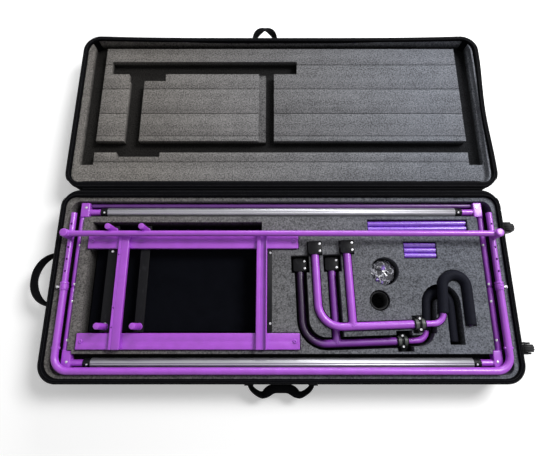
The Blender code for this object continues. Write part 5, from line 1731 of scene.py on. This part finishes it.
@dataclass
class Platform:
    """Two flat rails, two cross channels, black strips that carry the posts, and an angle strip."""

    post_radius: float = 0.010
    post_ends: Point = (-0.148, 0.168)
    strip_ends: Point = (-0.165, 0.185)
    strip_low: float = 0.0898
    strip_high: float = 0.0958
    post_high: float = 0.1598
    screw_y: Point = (-0.1403, 0.0965)
    rail_top: float = 0.1101
    rail_y: Point = (-0.1935, 0.129)
    bolt_x: Sequence[float] = (-0.631, 0.040)
    angle_bolt_y: Point = (0.0905, -0.1388)
    channel_lip: float = 0.0036
    channel_open: float = 0.38
    channel_groove: float = 0.27
    groove_half: float = 0.0010
    groove_depth: float = 0.0011
    channel_holes: Sequence[float] = (0.0804, -0.0917, -0.1515)
    hole_shift: float = 0.0042
    hole_radius: float = 0.0021

    def build(self) -> None:
        """Make the rails, channels, strips, posts, angle and their bolts."""
        for node in ("platform_rail_back", "platform_rail_front"):
            refined(node, f"{node}_coated", PURPLE, "platform", 0.0012, 3)
        for side in Side:
            self.channel(side)
        refined("angle_strip", "angle_strip_folded", PLASTIC, "platform", 0.0006)
        for side in Side:
            self.posts(side)
        self.bolts()

    def channel(self, side: Side) -> None:
        """A cross channel. The right one is open over its floor, the left has a groove and three holes.

        Args:
            side: Which end of the case.
        """
        node = f"cross_channel_{side.word}"
        low, high, _ = box_of(node)
        cut, wide, back, front = Shape(), high.x - low.x, high.y + 0.01, low.y - 0.01
        if side is Side.RIGHT:
            start, end = low.x + wide * self.channel_open, high.x - self.channel_lip
            cut.block((start, front, high.z - 0.004), (end, back, high.z + 0.004), 0.0003, 1)
            floor = Shape().block((low.x + 0.0027, low.y + 0.0006, low.z + 0.0002),
                                  (high.x - 0.0027, high.y - 0.0006, low.z + 0.0016), 0.0003, 1)
            show(floor, f"{node}_floor", PURPLE, "platform")
        else:
            x, half = low.x + wide * self.channel_groove, self.groove_half
            cut.block((x - half, front, high.z - self.groove_depth),
                      (x + half, back, high.z + 0.004), 0.0002, 1)
            x = x - self.hole_shift
            for y in self.channel_holes:
                drill = [(x, y, high.z + way) for way in (-0.006, 0.006)]
                cut.tube(drill, self.hole_radius, 20, up=ALONG)
        refined(node, f"{node}_coated", PURPLE, "platform", 0.0007, 2, cut)

    def posts(self, side: Side) -> None:
        """A black strip under the rails and its two domed purple posts on welded feet.

        Args:
            side: Which end of the case.
        """
        node = f"post_strip_{side.word}"
        low, high, middle = box_of(node)
        (front, back), radius, top = self.strip_ends, self.post_radius, self.post_high
        strip = Shape().block((low.x, front, self.strip_low), (high.x, back, self.strip_high), 0.0009)
        show(strip, f"{node}_bar", PLASTIC, "platform", node)
        foot, posts = self.strip_high - 0.001, Shape()
        rows = [(0, foot), (radius, foot),
                *under(radius, [(0, top - 0.0022), (0.0007, top - 0.0007), (0.0024, top), (radius, top)])]
        for y in self.post_ends:
            posts.lathe(rows, (middle.x, y, 0.0))
            line = ring_path((middle.x, y, self.strip_high), UP, radius + 0.0003)
            posts.weld(line, 0.0012, up=ALONG)
        show(posts, f"{node}_posts", PURPLE, "platform")
        if side is Side.LEFT:
            places = [(middle.x + 0.001, y, self.strip_high - 0.0002) for y in self.screw_y]
            show(Shape().bolts(places, UP, 0.0045, 0.0030), f"{node}_screws", STEEL, "platform")

    def bolts(self) -> None:
        """Coated bolts in the rails' left holes, and steel ones on the angle strip."""
        places = [(x, y, self.rail_top - 0.0004) for x in self.bolt_x for y in self.rail_y]
        show(Shape().bolts(places, UP, 0.0066, 0.0036), "platform_rail_bolts", PURPLE, "platform")
        low, high, _ = box_of("angle_strip")
        places = [(high.x - 0.006, y, low.z + 0.0028) for y in self.angle_bolt_y]
        show(Shape().bolts(places, UP, 0.0042, 0.0028), "angle_strip_bolts", STEEL, "platform")


@dataclass
class CoveredBoard:
    """The board in the deep pocket, covered with a padded black cloth."""

    crown: float = 0.0016
    edge: float = 0.005
    corner: float = 0.006

    def build(self) -> None:
        """Make a crowned slab: rings of a rounded rectangle, whose height follows 1 - s^4 from the rim in."""
        low, high, middle = box_of("board")
        centre, top = np.array([middle.x, middle.y]), high.z - self.crown
        inset, rise = quarter_arc(self.edge, 5)
        outline = Outline(high.x - low.x, high.y - low.y, middle.y, self.corner, 8, 24)
        rings = outline.rings(np.concatenate([inset, inset[::-1]]),
                              np.concatenate([low.z + rise, (top - rise)[::-1]]))
        rings[..., 0] += middle.x
        share = np.linspace(1, 0, 14)[1:, None, None]
        cap = np.repeat(rings[-1][None], 13, 0)
        cap[..., :2] = centre + (cap[..., :2] - centre) * share
        cap[..., 2] = top + self.crown * (1 - share[..., 0] ** 4)
        floor = rings[:1].copy()
        floor[..., :2] = centre
        shape = Shape().grid(np.concatenate([floor, rings, cap]))
        piece = show(shape, "board_cover", BOARD, "board", "board", sharp=60.0)


# The stand


def flutes(count: int, depth: float, sides: int) -> Array:
    """A factor on a knob's radius at each side, 1 - depth * (1 + cos(count * angle))."""
    return 1 - depth * (1 + np.cos(count * angles(sides)))


@dataclass
class Stand:
    """The U tube, its collars and plungers, the drilled legs, the cross bar, its fittings and end knobs."""

    x: float = 0.707
    front: float = -0.2815
    end: float = -0.012
    z: float = 0.108
    radius: float = 0.0112
    bore: float = 0.0100
    bend: float = 0.046
    leg_radius: float = 0.0095
    leg_bore: float = 0.0077
    leg_ends: Point = (-0.057, 0.228)
    hole: float = 0.0033
    holes: Sequence[float] = (0.027, 0.067, 0.107, 0.147, 0.187)
    bar_y: float = 0.147
    bar_z: float = 0.143
    bar_radius: float = 0.0095
    fitting: float = 0.014
    fitting_ends: Point = (0.1178, 0.1535)
    collar_radius: float = 0.0135
    collar_rows: Sequence[Point] = ((0.0016, 0.005), (0.0003, 0.0036), (0.0, 0.0020), (0.0, 0.0),
                                    (0.0011, -0.0012), (0.0011, -0.0042), (0.0, -0.0054), (0.0, -0.0156),
                                    (0.0010, -0.0166), (0.0010, -0.0186), (0.0, -0.0196),
                                    (0.0004, -0.0212), (0.0014, -0.022))
    pin_y: float = -0.2130
    plunger_rows: Sequence[Point] = ((0, 0), (0.0043, 0), (0.0043, 0.0055), (0.0052, 0.0062),
                                     (0.006, 0.0068), (0.006, 0.0092), (0.0053, 0.0099), (0, 0.0099))

    def build(self) -> None:
        """Make the tube and bar, and each side's leg, collar, plunger and knob."""
        corners = [(-self.x, self.end, self.z), (-self.x, self.front, self.z), (self.x, self.front, self.z),
                   (self.x, self.end, self.z)]
        shape = Shape().tube(bent_path(corners, self.bend, 20), self.radius, 48, 0.0004, 1, self.bore)
        show(shape, "stand_u_tube", PURPLE, "stand", "stand_tube")
        self.cross_bar()
        for side in Side:
            x = side.value * self.x
            self.leg(side, x)
            self.collar(side, x)
            self.plunger(side)
            self.knob(side)

    def cross_bar(self) -> None:
        """The bar, an upright fitting at each end with a chamfered foot, and beads where they join."""
        shape = Shape().tube([(x, self.bar_y, self.bar_z) for x in (-self.x, self.x)], self.bar_radius, 48)
        (low, high), wide = self.fitting_ends, self.fitting
        rows = under(wide, [(wide, low), (0.001, low), (0, low + 0.001), (0, high - 0.0015), (0.0015, high),
                            (wide, high)])
        for side in Side:
            x = side.value * self.x
            shape.lathe(rows, (x, self.bar_y, 0.0), UP, 56)
            line = ring_path((x, self.bar_y, self.bar_z), (-side.value, 0, 0), self.bar_radius + 0.0002, wide)
            shape.weld(line, 0.0013)
        show(shape, "cross_bar_welded", PURPLE, "legs", "cross_bar")

    def leg(self, side: Side, x: float) -> None:
        """A sliding leg, drilled through from above for its height holes, with a plug in its end.

        Args:
            side: Which end of the case.
            x: The leg's place along the case.
        """
        node = f"inner_leg_{side.word}"
        path = [(x, y, self.z) for y in self.leg_ends]
        piece = Shape().tube(path, self.leg_radius, 48, 0.0005, 1, self.leg_bore).build(f"{node}_drilled")
        drills = Shape()
        for y in self.holes:
            drills.tube([(x, y, self.z - 0.02), (x, y, self.z + 0.02)], self.hole, 24, up=ALONG)
        dress(carve(piece, drills), PURPLE, "legs", node)
        bore = self.leg_bore
        cap = under(bore, [(bore, -0.006), (0.0002, -0.006), (0.0002, -0.0006), (0.0012, -0.0001),
                           (bore, -0.0001)])
        show(Shape().lathe(cap, path[1], BACK, 32), f"{node}_plug", PLASTIC, "legs")

    def collar(self, side: Side, x: float) -> None:
        """A height collar with three ridges, which grips the tube and narrows to the leg, and its pins.

        Args:
            side: Which end of the case.
            x: The leg's place along the case.
        """
        wide, narrow, rows = self.radius + 0.0003, self.leg_radius + 0.0003, self.collar_rows
        profile = [(narrow, rows[0][1]), *under(self.collar_radius, rows), (wide, rows[-1][1]),
                   (wide, 0.0003), (narrow, 0.0003)]
        node = f"collar_{side.word}"
        shape = Shape().lathe(profile, (x, self.end, self.z), BACK, 56, ring=True)
        show(shape, f"{node}_turned", PURPLE, "stand", node)
        spot = (x, self.end - 0.0105, self.z + self.collar_radius - 0.0006)
        pins = Shape().bolts([spot], UP, 0.0030, 0.0016)
        for way in (side.value, -side.value):
            spot = (x + way * (self.radius - 0.0010), self.pin_y, self.z)
            pins.bolts([spot], (way, 0, 0), 0.0046, 0.0034)
        show(pins, f"{node}_pins", PURPLE, "stand")

    def plunger(self, side: Side) -> None:
        """A pull knob: a stem and a knurled head whose radius has eighteen flutes.

        Args:
            side: Which end of the case.
        """
        node = f"plunger_{side.word}"
        low, high, middle = box_of(node)
        centre = (low.x if side is Side.RIGHT else high.x, middle.y, middle.z)
        shape = Shape().lathe(self.plunger_rows, centre, (side.value, 0, 0), 72, flutes(18, 0.035, 72),
                              slice(3, 6))
        show(shape, f"{node}_knurled", STEEL, node, node)

    def knob(self, side: Side) -> None:
        """An end knob: a low dome with a chamfered, finely fluted rim.

        Args:
            side: Which end of the case.
        """
        node = f"end_knob_{side.word}"
        low, high, middle = box_of(node)
        radius, top = (high.x - low.x) / 2, high.z - low.z
        rows = under(radius, [(radius, 0), (0.0008, 0), (0, 0.0008), (0, top - 0.0034),
                              (0.0010, top - 0.0014), (0.0032, top - 0.0002), (radius * 0.5, top),
                              (radius, top)])
        shape = Shape().lathe(rows, (middle.x, middle.y, low.z), UP, 96, flutes(24, 0.012, 96), slice(1, 4))
        show(shape, f"{node}_fluted", PURPLE, node, node)


# The padded arms


@dataclass
class PaddedArm:
    """A welded arm: bent tube and second tube, two top clamps, an end coupling and the padded hook."""

    tag: str
    origin: Point
    finish: PowderCoat
    tilt: float = math.radians(2.0)
    radius: float = 0.0125
    rise: float = 0.250
    spacing: float = 0.107
    reach: float = 0.316
    bend: float = 0.075
    hook_radius: float = 0.0395
    hook_centre: Point = (0.4485, 0.113)
    near_leg: Point = (0.409, 0.119)
    far_leg: Point = (0.488, 0.035)
    leg_top: float = 0.105
    near_end: float = 0.031
    far_end: float = -0.009
    tube: float = 0.0095
    grip: float = 0.016
    grip_edge: float = 0.0042
    stub_start: float = 0.3206
    stub_bend: float = 0.033
    clamp_bolt: Point = (0.0150, 0.0003)
    clamp_bolt_y: Point = (0.245, 0.269)
    saddle_y: float = 0.2635
    saddle_reach: float = 0.0205
    saddle_radius: float = 0.0103
    saddle_bore: float = 0.0090
    coupling: Point = (0.3003, 0.3363)
    band_inset: float = 0.0085
    band_rows: Sequence[Point] = ((0.0163, -0.0050), (0.0170, -0.0044), (0.0170, 0.0044), (0.0163, 0.0050))
    lug_y: float = 0.0170
    lug_z: float = 0.0088

    def matrix(self) -> Array:
        """The 4 x 4 matrix from the arm's plane to the case.

        Returns:
            The matrix.
        """
        cos, sin = math.cos(self.tilt), math.sin(self.tilt)
        made = np.eye(4)
        made[:2, :2] = ((cos, -sin), (sin, cos))
        made[:3, 3] = self.origin
        return made

    def put(self, points: Any) -> Array:
        """Points (x, y) or (x, y, z) of the arm's plane as places in the case.

        Args:
            points: The points.

        Returns:
            Their places in the case.
        """
        points = np.asarray(points, float)
        if points.shape[-1] == 2:
            points = np.concatenate([points, np.zeros((*points.shape[:-1], 1))], -1)
        matrix = self.matrix()
        return points @ matrix[:3, :3].T + matrix[:3, 3]

    def on_leg(self, leg: Point, y: float) -> Point:
        """A point on a leg of the hook, which leans by a share of its way down from the hook's centre."""
        return (leg[0] - leg[1] * (self.hook_centre[1] - y), y, 0.0)

    def hook(self) -> Array:
        """The hook's centre line: up the near leg, half a circle over the top, down the far leg.

        Returns:
            The line's points.
        """
        angle = np.linspace(math.pi, 0, 33)
        over = np.stack([self.hook_centre[0] + self.hook_radius * np.cos(angle),
                         self.hook_centre[1] + self.hook_radius * np.sin(angle), angle * 0.0], -1)
        near, far = (np.linspace(self.on_leg(leg, start), self.on_leg(leg, end), count)
                     for leg, start, end, count in ((self.near_leg, self.near_end, self.leg_top, 8),
                                                    (self.far_leg, self.leg_top, self.far_end, 10)))
        return np.concatenate([near, over[1:-1], far])

    def build(self) -> None:
        """Make the arm's pieces."""
        body = f"{self.tag}_arm"
        main = bent_path([(0, self.rise, 0), (0, 0, 0), (self.reach, 0, 0)], self.bend, 24)
        second = [(self.spacing, self.rise, 0), (self.spacing, 0.002, 0)]
        shape = Shape().tube(self.put(main), self.radius, 48).tube(self.put(second), self.radius, 48)
        line = ring_path(self.put((self.spacing, 0.0)), self.matrix()[:3, 1], self.radius + 0.0003,
                         self.radius)
        shape.weld(line, 0.0017, 26)
        show(shape, f"{body}_welded", self.finish, body, f"{self.tag}_arm_tube")
        self.hook_pieces(body)
        for x, word in ((0.0, "left"), (self.spacing, "right")):
            self.clamp(body, f"{self.tag}_clamp_{word}", x)
        self.end_coupling(body, f"{self.tag}_coupling")

    def hook_pieces(self, body: str) -> None:
        """The bent stub and the tube in the hook, and the foam sleeve with rounded ends.

        Args:
            body: The arm's body.
        """
        line = self.hook()
        corners = [(self.stub_start, 0.0, 0.0), self.on_leg(self.near_leg, 0.0), line[0]]
        core = np.concatenate([bent_path(corners, self.stub_bend, 16), line[1:]])
        shape = Shape().tube(self.put(core), self.tube)
        show(shape, f"{self.tag}_hook_core", PURPLE, body, f"{self.tag}_hook_tube")
        passed = lengths_of(line)
        even = at_lengths(line, passed, np.linspace(0, passed[-1], 90))
        shape = Shape().tube(self.put(even), self.grip, 48, self.grip_edge, 5, self.tube + 0.0003)
        piece = show(shape, f"{self.tag}_hook_sleeve", GRIP, body, f"{self.tag}_hook_grip", sharp=70.0)

    def clamp(self, body: str, node: str, x: float) -> None:
        """A top clamp with a pair of bolts beside its jaw and a steel saddle in it.

        Args:
            body: The arm's body.
            node: The clamp's CAD node.
            x: The place of its tube in the arm's plane.
        """
        refined(node, f"{node}_moulded", PLASTIC, body, 0.0011)
        high, (aside, sunk) = box_of(node)[1], self.clamp_bolt
        places = [(*self.put((x + aside, y))[:2], high.z - sunk) for y in self.clamp_bolt_y]
        show(Shape().bolts(places, UP, 0.0042, 0.0024), f"{node}_bolts", STEEL, body)
        line = self.put([(x + way, self.saddle_y) for way in (-self.saddle_reach, self.saddle_reach)])
        saddle = Shape().tube(line, self.saddle_radius, 32, 0.0008, 1, self.saddle_bore)
        show(saddle, f"{node}_saddle", STEEL, body)

    def end_coupling(self, body: str, node: str) -> None:
        """The coupling: a black casting with a smoked band round each end and a bolt in each lug.

        Args:
            body: The arm's body.
            node: The coupling's CAD node.
        """
        refined(node, f"{node}_cast", PLASTIC, body, 0.0008)
        (start, end), way, bands = self.coupling, self.matrix()[:3, 0], Shape()
        for x in (start + self.band_inset, end - self.band_inset):
            bands.lathe(self.band_rows, self.put((x, 0.0)), way, ring=True)
        show(bands, f"{node}_bands", SMOKED, body)
        places = self.put([((start + end) / 2, y, self.lug_z) for y in (-self.lug_y, self.lug_y)])
        show(Shape().bolts(places, UP, 0.0040, 0.0030), f"{node}_bolts", STEEL, body)


# The loose pieces


@dataclass
class LooseTubes:
    """Spare tubes in their pockets, each an open pipe with a plastic plug in both ends."""

    node: str
    body: str
    wall: float = 0.0015

    def build(self) -> None:
        """Make one pipe and its plugs. The tube's skew comes from its box."""
        low, high, middle = box_of(self.node)
        radius = (high.z - low.z) / 2
        skew = max((high.y - low.y) / 2 - radius, 0.0)
        ends = np.array([(low.x, middle.y - skew, middle.z), (high.x, middle.y + skew, middle.z)])
        shape = Shape().tube(ends, radius, 48, 0.0005, 1, radius - self.wall)
        show(shape, f"{self.node}_pipe", VIOLET, self.body, self.node)
        plugs, way, inner = Shape(), unit(ends[1] - ends[0]), radius - self.wall - 0.0001
        rows = [(0, -0.012), (inner, -0.012), (inner, -0.0012), (inner - 0.0012, -0.0004),
                (inner * 0.6, -0.0004), (inner * 0.5, -0.0030), (0, -0.0030)]
        for end, sign in zip(ends, (-1, 1)):
            plugs.lathe(rows, end, sign * way, 32)
        show(plugs, f"{self.node}_plugs", PLASTIC, self.body)


@dataclass
class SpareRing:
    """The deep black ring in its round pocket, with a rolled lip and fine ribs inside."""

    wall: float = 0.006
    rib: float = 0.0006
    rows: int = 33

    def build(self) -> None:
        """Turn a lipped profile."""
        low, high, centre = box_of("spare_ring")
        radius, top = (high.x - low.x) / 2, high.z - low.z
        inner = radius - self.wall
        rise = np.linspace(0.004, top - 0.006, self.rows)
        ribs = inner + self.rib * np.cos(np.arange(self.rows) * math.pi)
        outside = under(radius, [(0.001, 0), (0, 0.001), (0, top - 0.003), (0.0008, top - 0.0009),
                                 (0.003, top)])
        rows = [(inner, 0), *outside, (inner + 0.0016, top - 0.0006), (inner, top - 0.003),
                *zip(ribs[::-1], rise[::-1])]
        show(Shape().lathe(rows, (centre.x, centre.y, low.z), UP, 72, ring=True), "spare_ring_turned", RUBBER,
             "spare_ring", "spare_ring", sharp=50.0)


@dataclass
class HardwareBag:
    """A crumpled clear pouch with a gathered top, filled with bolts, washers and violet caps."""

    seed: int = 11
    count: int = 22
    per_layer: int = 8
    floor: float = 0.010
    layer: float = 0.0115
    cap_rows: Sequence[Point] = ((0, 0), (0.0075, 0), (0.0085, 0.001), (0.0085, 0.009), (0.007, 0.0105),
                                 (0, 0.0105))
    washer_rows: Sequence[Point] = ((0.0035, 0), (0.008, 0), (0.008, 0.0016), (0.0035, 0.0016))

    def build(self) -> None:
        """Make the pouch, a lathe whose radius and height wrinkle with angle, and what it holds."""
        low, high, centre = box_of("hardware_bag")
        radius, top = (high.x - low.x) / 2, high.z - low.z
        share, angle = np.linspace(0, 1, 40)[:, None], angles(120)[None, :]
        lying = np.minimum(1.0, 1.9 * np.sqrt(share) * np.sqrt(np.maximum(1.45 - share, 0.0)))
        closing = np.clip((share - 0.55) / 0.45, 0, 1)
        wrinkle = 0.045 * np.sin(7 * angle + 9 * share) + 0.035 * np.sin(13 * angle - 17 * share)
        wrinkle = wrinkle + 0.03 * np.sin(23 * angle + 31 * share)
        reach = radius * lying * (1 - closing**2.2) * (0.93 + wrinkle * (0.4 + closing))
        reach[0] = 0.0
        z = low.z + top * (share ** 0.9) * 0.93 + 0.0028 * closing * np.sin(5 * angle + 2) * (reach > 0)
        points = np.stack([centre.x + reach * np.cos(angle), centre.y + reach * np.sin(angle),
                           np.minimum(z, high.z)], -1)
        points[0, :, 2] = low.z
        points[-1] = points[-1].mean(0)
        show(Shape().grid(points), "hardware_pouch", FILM, "hardware_bag", "hardware_bag", sharp=80.0)
        self.contents(np.array([centre.x, centre.y, low.z]), radius)

    def contents(self, foot: Array, radius: float) -> None:
        """Steel bolts, violet caps and black washers in layers, each on a spiral and leaning its own way.

        Args:
            foot: The middle of the pouch's floor.
            radius: The pouch's radius.
        """
        pick = np.random.default_rng(self.seed)
        steel, caps, black = Shape(), Shape(), Shape()
        for number in range(self.count):
            layer, place_in = divmod(number, self.per_layer)
            turn, out = number * 2.4, radius * 0.62 * math.sqrt((place_in + 0.4) / self.per_layer)
            height = self.floor + self.layer * layer
            place = foot + np.array([out * math.cos(turn), out * math.sin(turn), height])
            way = unit(np.append(pick.normal(size=2), pick.uniform(-0.4, 0.9)))
            if number % 4 == 3:
                caps.lathe(self.cap_rows, place, way, 28)
            elif number % 4 == 1:
                black.lathe(self.washer_rows, place, way, 24, ring=True)
            else:
                steel.bolts([place], way, 0.0055, 0.004)
                steel.tube([place, place - way * 0.022], 0.003, 14, up=(0.3, 0.9, 0.2))
        for shape, name, finish in ((steel, "bolts", STEEL), (caps, "caps", VIOLET),
                                    (black, "washers", PLASTIC)):
            show(shape, f"pouch_{name}", finish, "hardware_bag")


# The studio


@dataclass(frozen=True)
class Softbox:
    """A square soft lamp: its name, its place, what it looks at, its size and its power in watts."""

    name: str
    place: Point
    target: Point
    size: float
    power: float

    def build(self) -> None:
        """Make the lamp, its face turned to the target."""
        data = bpy.data.lights.new(self.name, "AREA")
        data.shape, data.size, data.energy = "SQUARE", self.size, self.power
        made = bpy.data.objects.new(self.name, data)
        bpy.context.scene.collection.objects.link(made)
        made.location = self.place
        away = np.asarray(self.place) - np.asarray(self.target)
        flat = math.hypot(away[0], away[1])
        made.rotation_euler = (math.atan2(flat, away[2]), 0.0, math.atan2(away[0], -away[1]))


@dataclass
class Studio:
    """A plain pale floor, soft lights from behind and above, and the photograph's camera."""

    floor_half: float = 9.0
    floor_z: float = -0.0006
    paper: float = 0.86
    camera_place: Point = (-0.022, -0.175, 1.396)
    camera_tilt: float = math.radians(15.2)
    sensor: float = 36.0
    lens: float = 395 / 550 * 36
    world: float = 0.20
    glow: float = 0.36
    lamps: Sequence[Softbox] = (Softbox("key_softbox", (2.9, 2.0, 3.8), (0.0, 0.3, 0.0), 1.9, 250.0),
                                Softbox("back_softbox", (0.4, 3.4, 1.25), (0.0, 0.2, 0.0), 1.6, 60.0))

    def build(self) -> None:
        """Make the floor, the world, the lamps and the camera."""
        scene, reach, z = bpy.context.scene, self.floor_half, self.floor_z
        corners = np.array([[(-reach, y, z), (reach, y, z)] for y in (-reach, reach)])
        floor = Shape().grid(corners, wrap_columns=False).build("studio_floor")
        if floor.data.polygons[0].normal.z < 0:
            floor.data.flip_normals()
        floor.data.materials.append(self.floor_material())
        scene.world = bpy.data.worlds.new("studio_world")
        scene.world.use_nodes = True
        tree = scene.world.node_tree
        plain = tree.nodes["Background"]
        plain.inputs["Color"].default_value = WHITE
        tree.links.new(self.seen(tree, 1.0 - self.world, self.world), plain.inputs["Strength"])
        for lamp in self.lamps:
            lamp.build()
        data = bpy.data.cameras.new("photo_camera")
        data.sensor_width, data.lens = self.sensor, self.lens
        camera = bpy.data.objects.new("photo_camera", data)
        camera.location, camera.rotation_euler = self.camera_place, (self.camera_tilt, 0.0, 0.0)
        scene.collection.objects.link(camera)
        scene.camera = camera
        scene.view_settings.view_transform = "Standard"

    def floor_material(self) -> bpy.types.Material:
        """White diffuse paper that glows a little to the camera and in reflections, so it shows white.

        Returns:
            The material.
        """
        made = bpy.data.materials.new("studio_paper")
        made.use_nodes = True
        tree = made.node_tree
        tree.nodes.clear()
        glow = add_node(tree, "Emission", {"Strength": self.seen(tree, self.glow, 0.0)})
        paper = add_node(tree, "BsdfDiffuse", {"Color": (self.paper,) * 3 + (1.0,)})
        add_node(tree, "OutputMaterial", {"Surface": add_node(tree, "AddShader", {0: paper, 1: glow})})
        return made

    def seen(self, tree: bpy.types.NodeTree, gain: float, base: float) -> Any:
        """A strength of base, raised by gain for the rays of the camera, of reflections and of clear film.

        Args:
            tree: The node tree that gets the nodes.
            gain: What those rays see above the base.
            base: The strength for all other rays.

        Returns:
            The socket that carries the strength.
        """
        total = 0.0
        for kind in ("Is Camera Ray", "Is Glossy Ray", "Is Transmission Ray"):
            ray = add_node(tree, "LightPath", out=kind)
            total = add_node(tree, "Math", {0: total, 1: ray}, operation="MAXIMUM")
        return add_node(tree, "Math", {0: total, 1: gain, 2: base}, operation="MULTIPLY_ADD")


def handles() -> list[WebbingHandle]:
    """The webbing handles on the left end, on the front and on the lid.

    Returns:
        The three handles.
    """
    hang = math.radians(26)
    return [
        WebbingHandle("side_handle", "case_base", (-0.7535, 0.005, 0.072), -QUARTER, 0.172, 0.088,
                      proud=0.006),
        WebbingHandle("front_handle", "case_base", (-0.003, -0.316, 0.062), 0.0, 0.202, 0.074, hang,
                      grip=0.40, ears=0.60, proud=0.0115),
        WebbingHandle("lid_handle", "lid", (-0.0625, 0.949, 0.062), math.pi, 0.090, 0.068, hang,
                      rise=0.035),
    ]


def assemblies() -> list[Any]:
    """The sub-assemblies in the order in which they are made.

    Returns:
        The sub-assemblies.
    """
    return [
        CaseHalf(Half.BASE, "case_base", "base_shell"),
        CaseHalf(Half.LID, "lid", "lid_shell"),
        ClothHinge(),
        FoamBlock("base_foam", "case_base", BASE_FOAM, (), 0.0998, edge=0.0),
        FoamBlock("lid_foam", "lid", LID_FOAM, (0.4285, 0.5323, 0.6254, 0.7303, 0.837), 0.083),
        *handles(),
        CaseWheel("back"),
        CaseWheel("front"),
        RollerFrame(),
        Platform(),
        CoveredBoard(),
        Stand(),
        # The lower arm's purple carries painted shade.
        PaddedArm("lower", (0.071, -0.204, 0.0673), POCKET_SHADE_PURPLE),
        PaddedArm("upper", (0.1195, -0.1515, 0.1018), PURPLE),
        *(LooseTubes(f"long_tube_{word}", "long_tubes") for word in ("front", "back")),
        *(LooseTubes(f"short_tube_{number}", "short_tubes") for number in (1, 2, 3)),
        SpareRing(),
        HardwareBag(),
        Studio(),
    ]


def main() -> None:
    """Load the frame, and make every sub-assembly."""
    logging.basicConfig(level=logging.INFO, format="%(message)s")
    FRAME.update(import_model())
    for assembly in assemblies():
        assembly.build()
        LOG.info("made %s", type(assembly).__name__)
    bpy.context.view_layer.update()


if __name__ == "__main__":
    main()
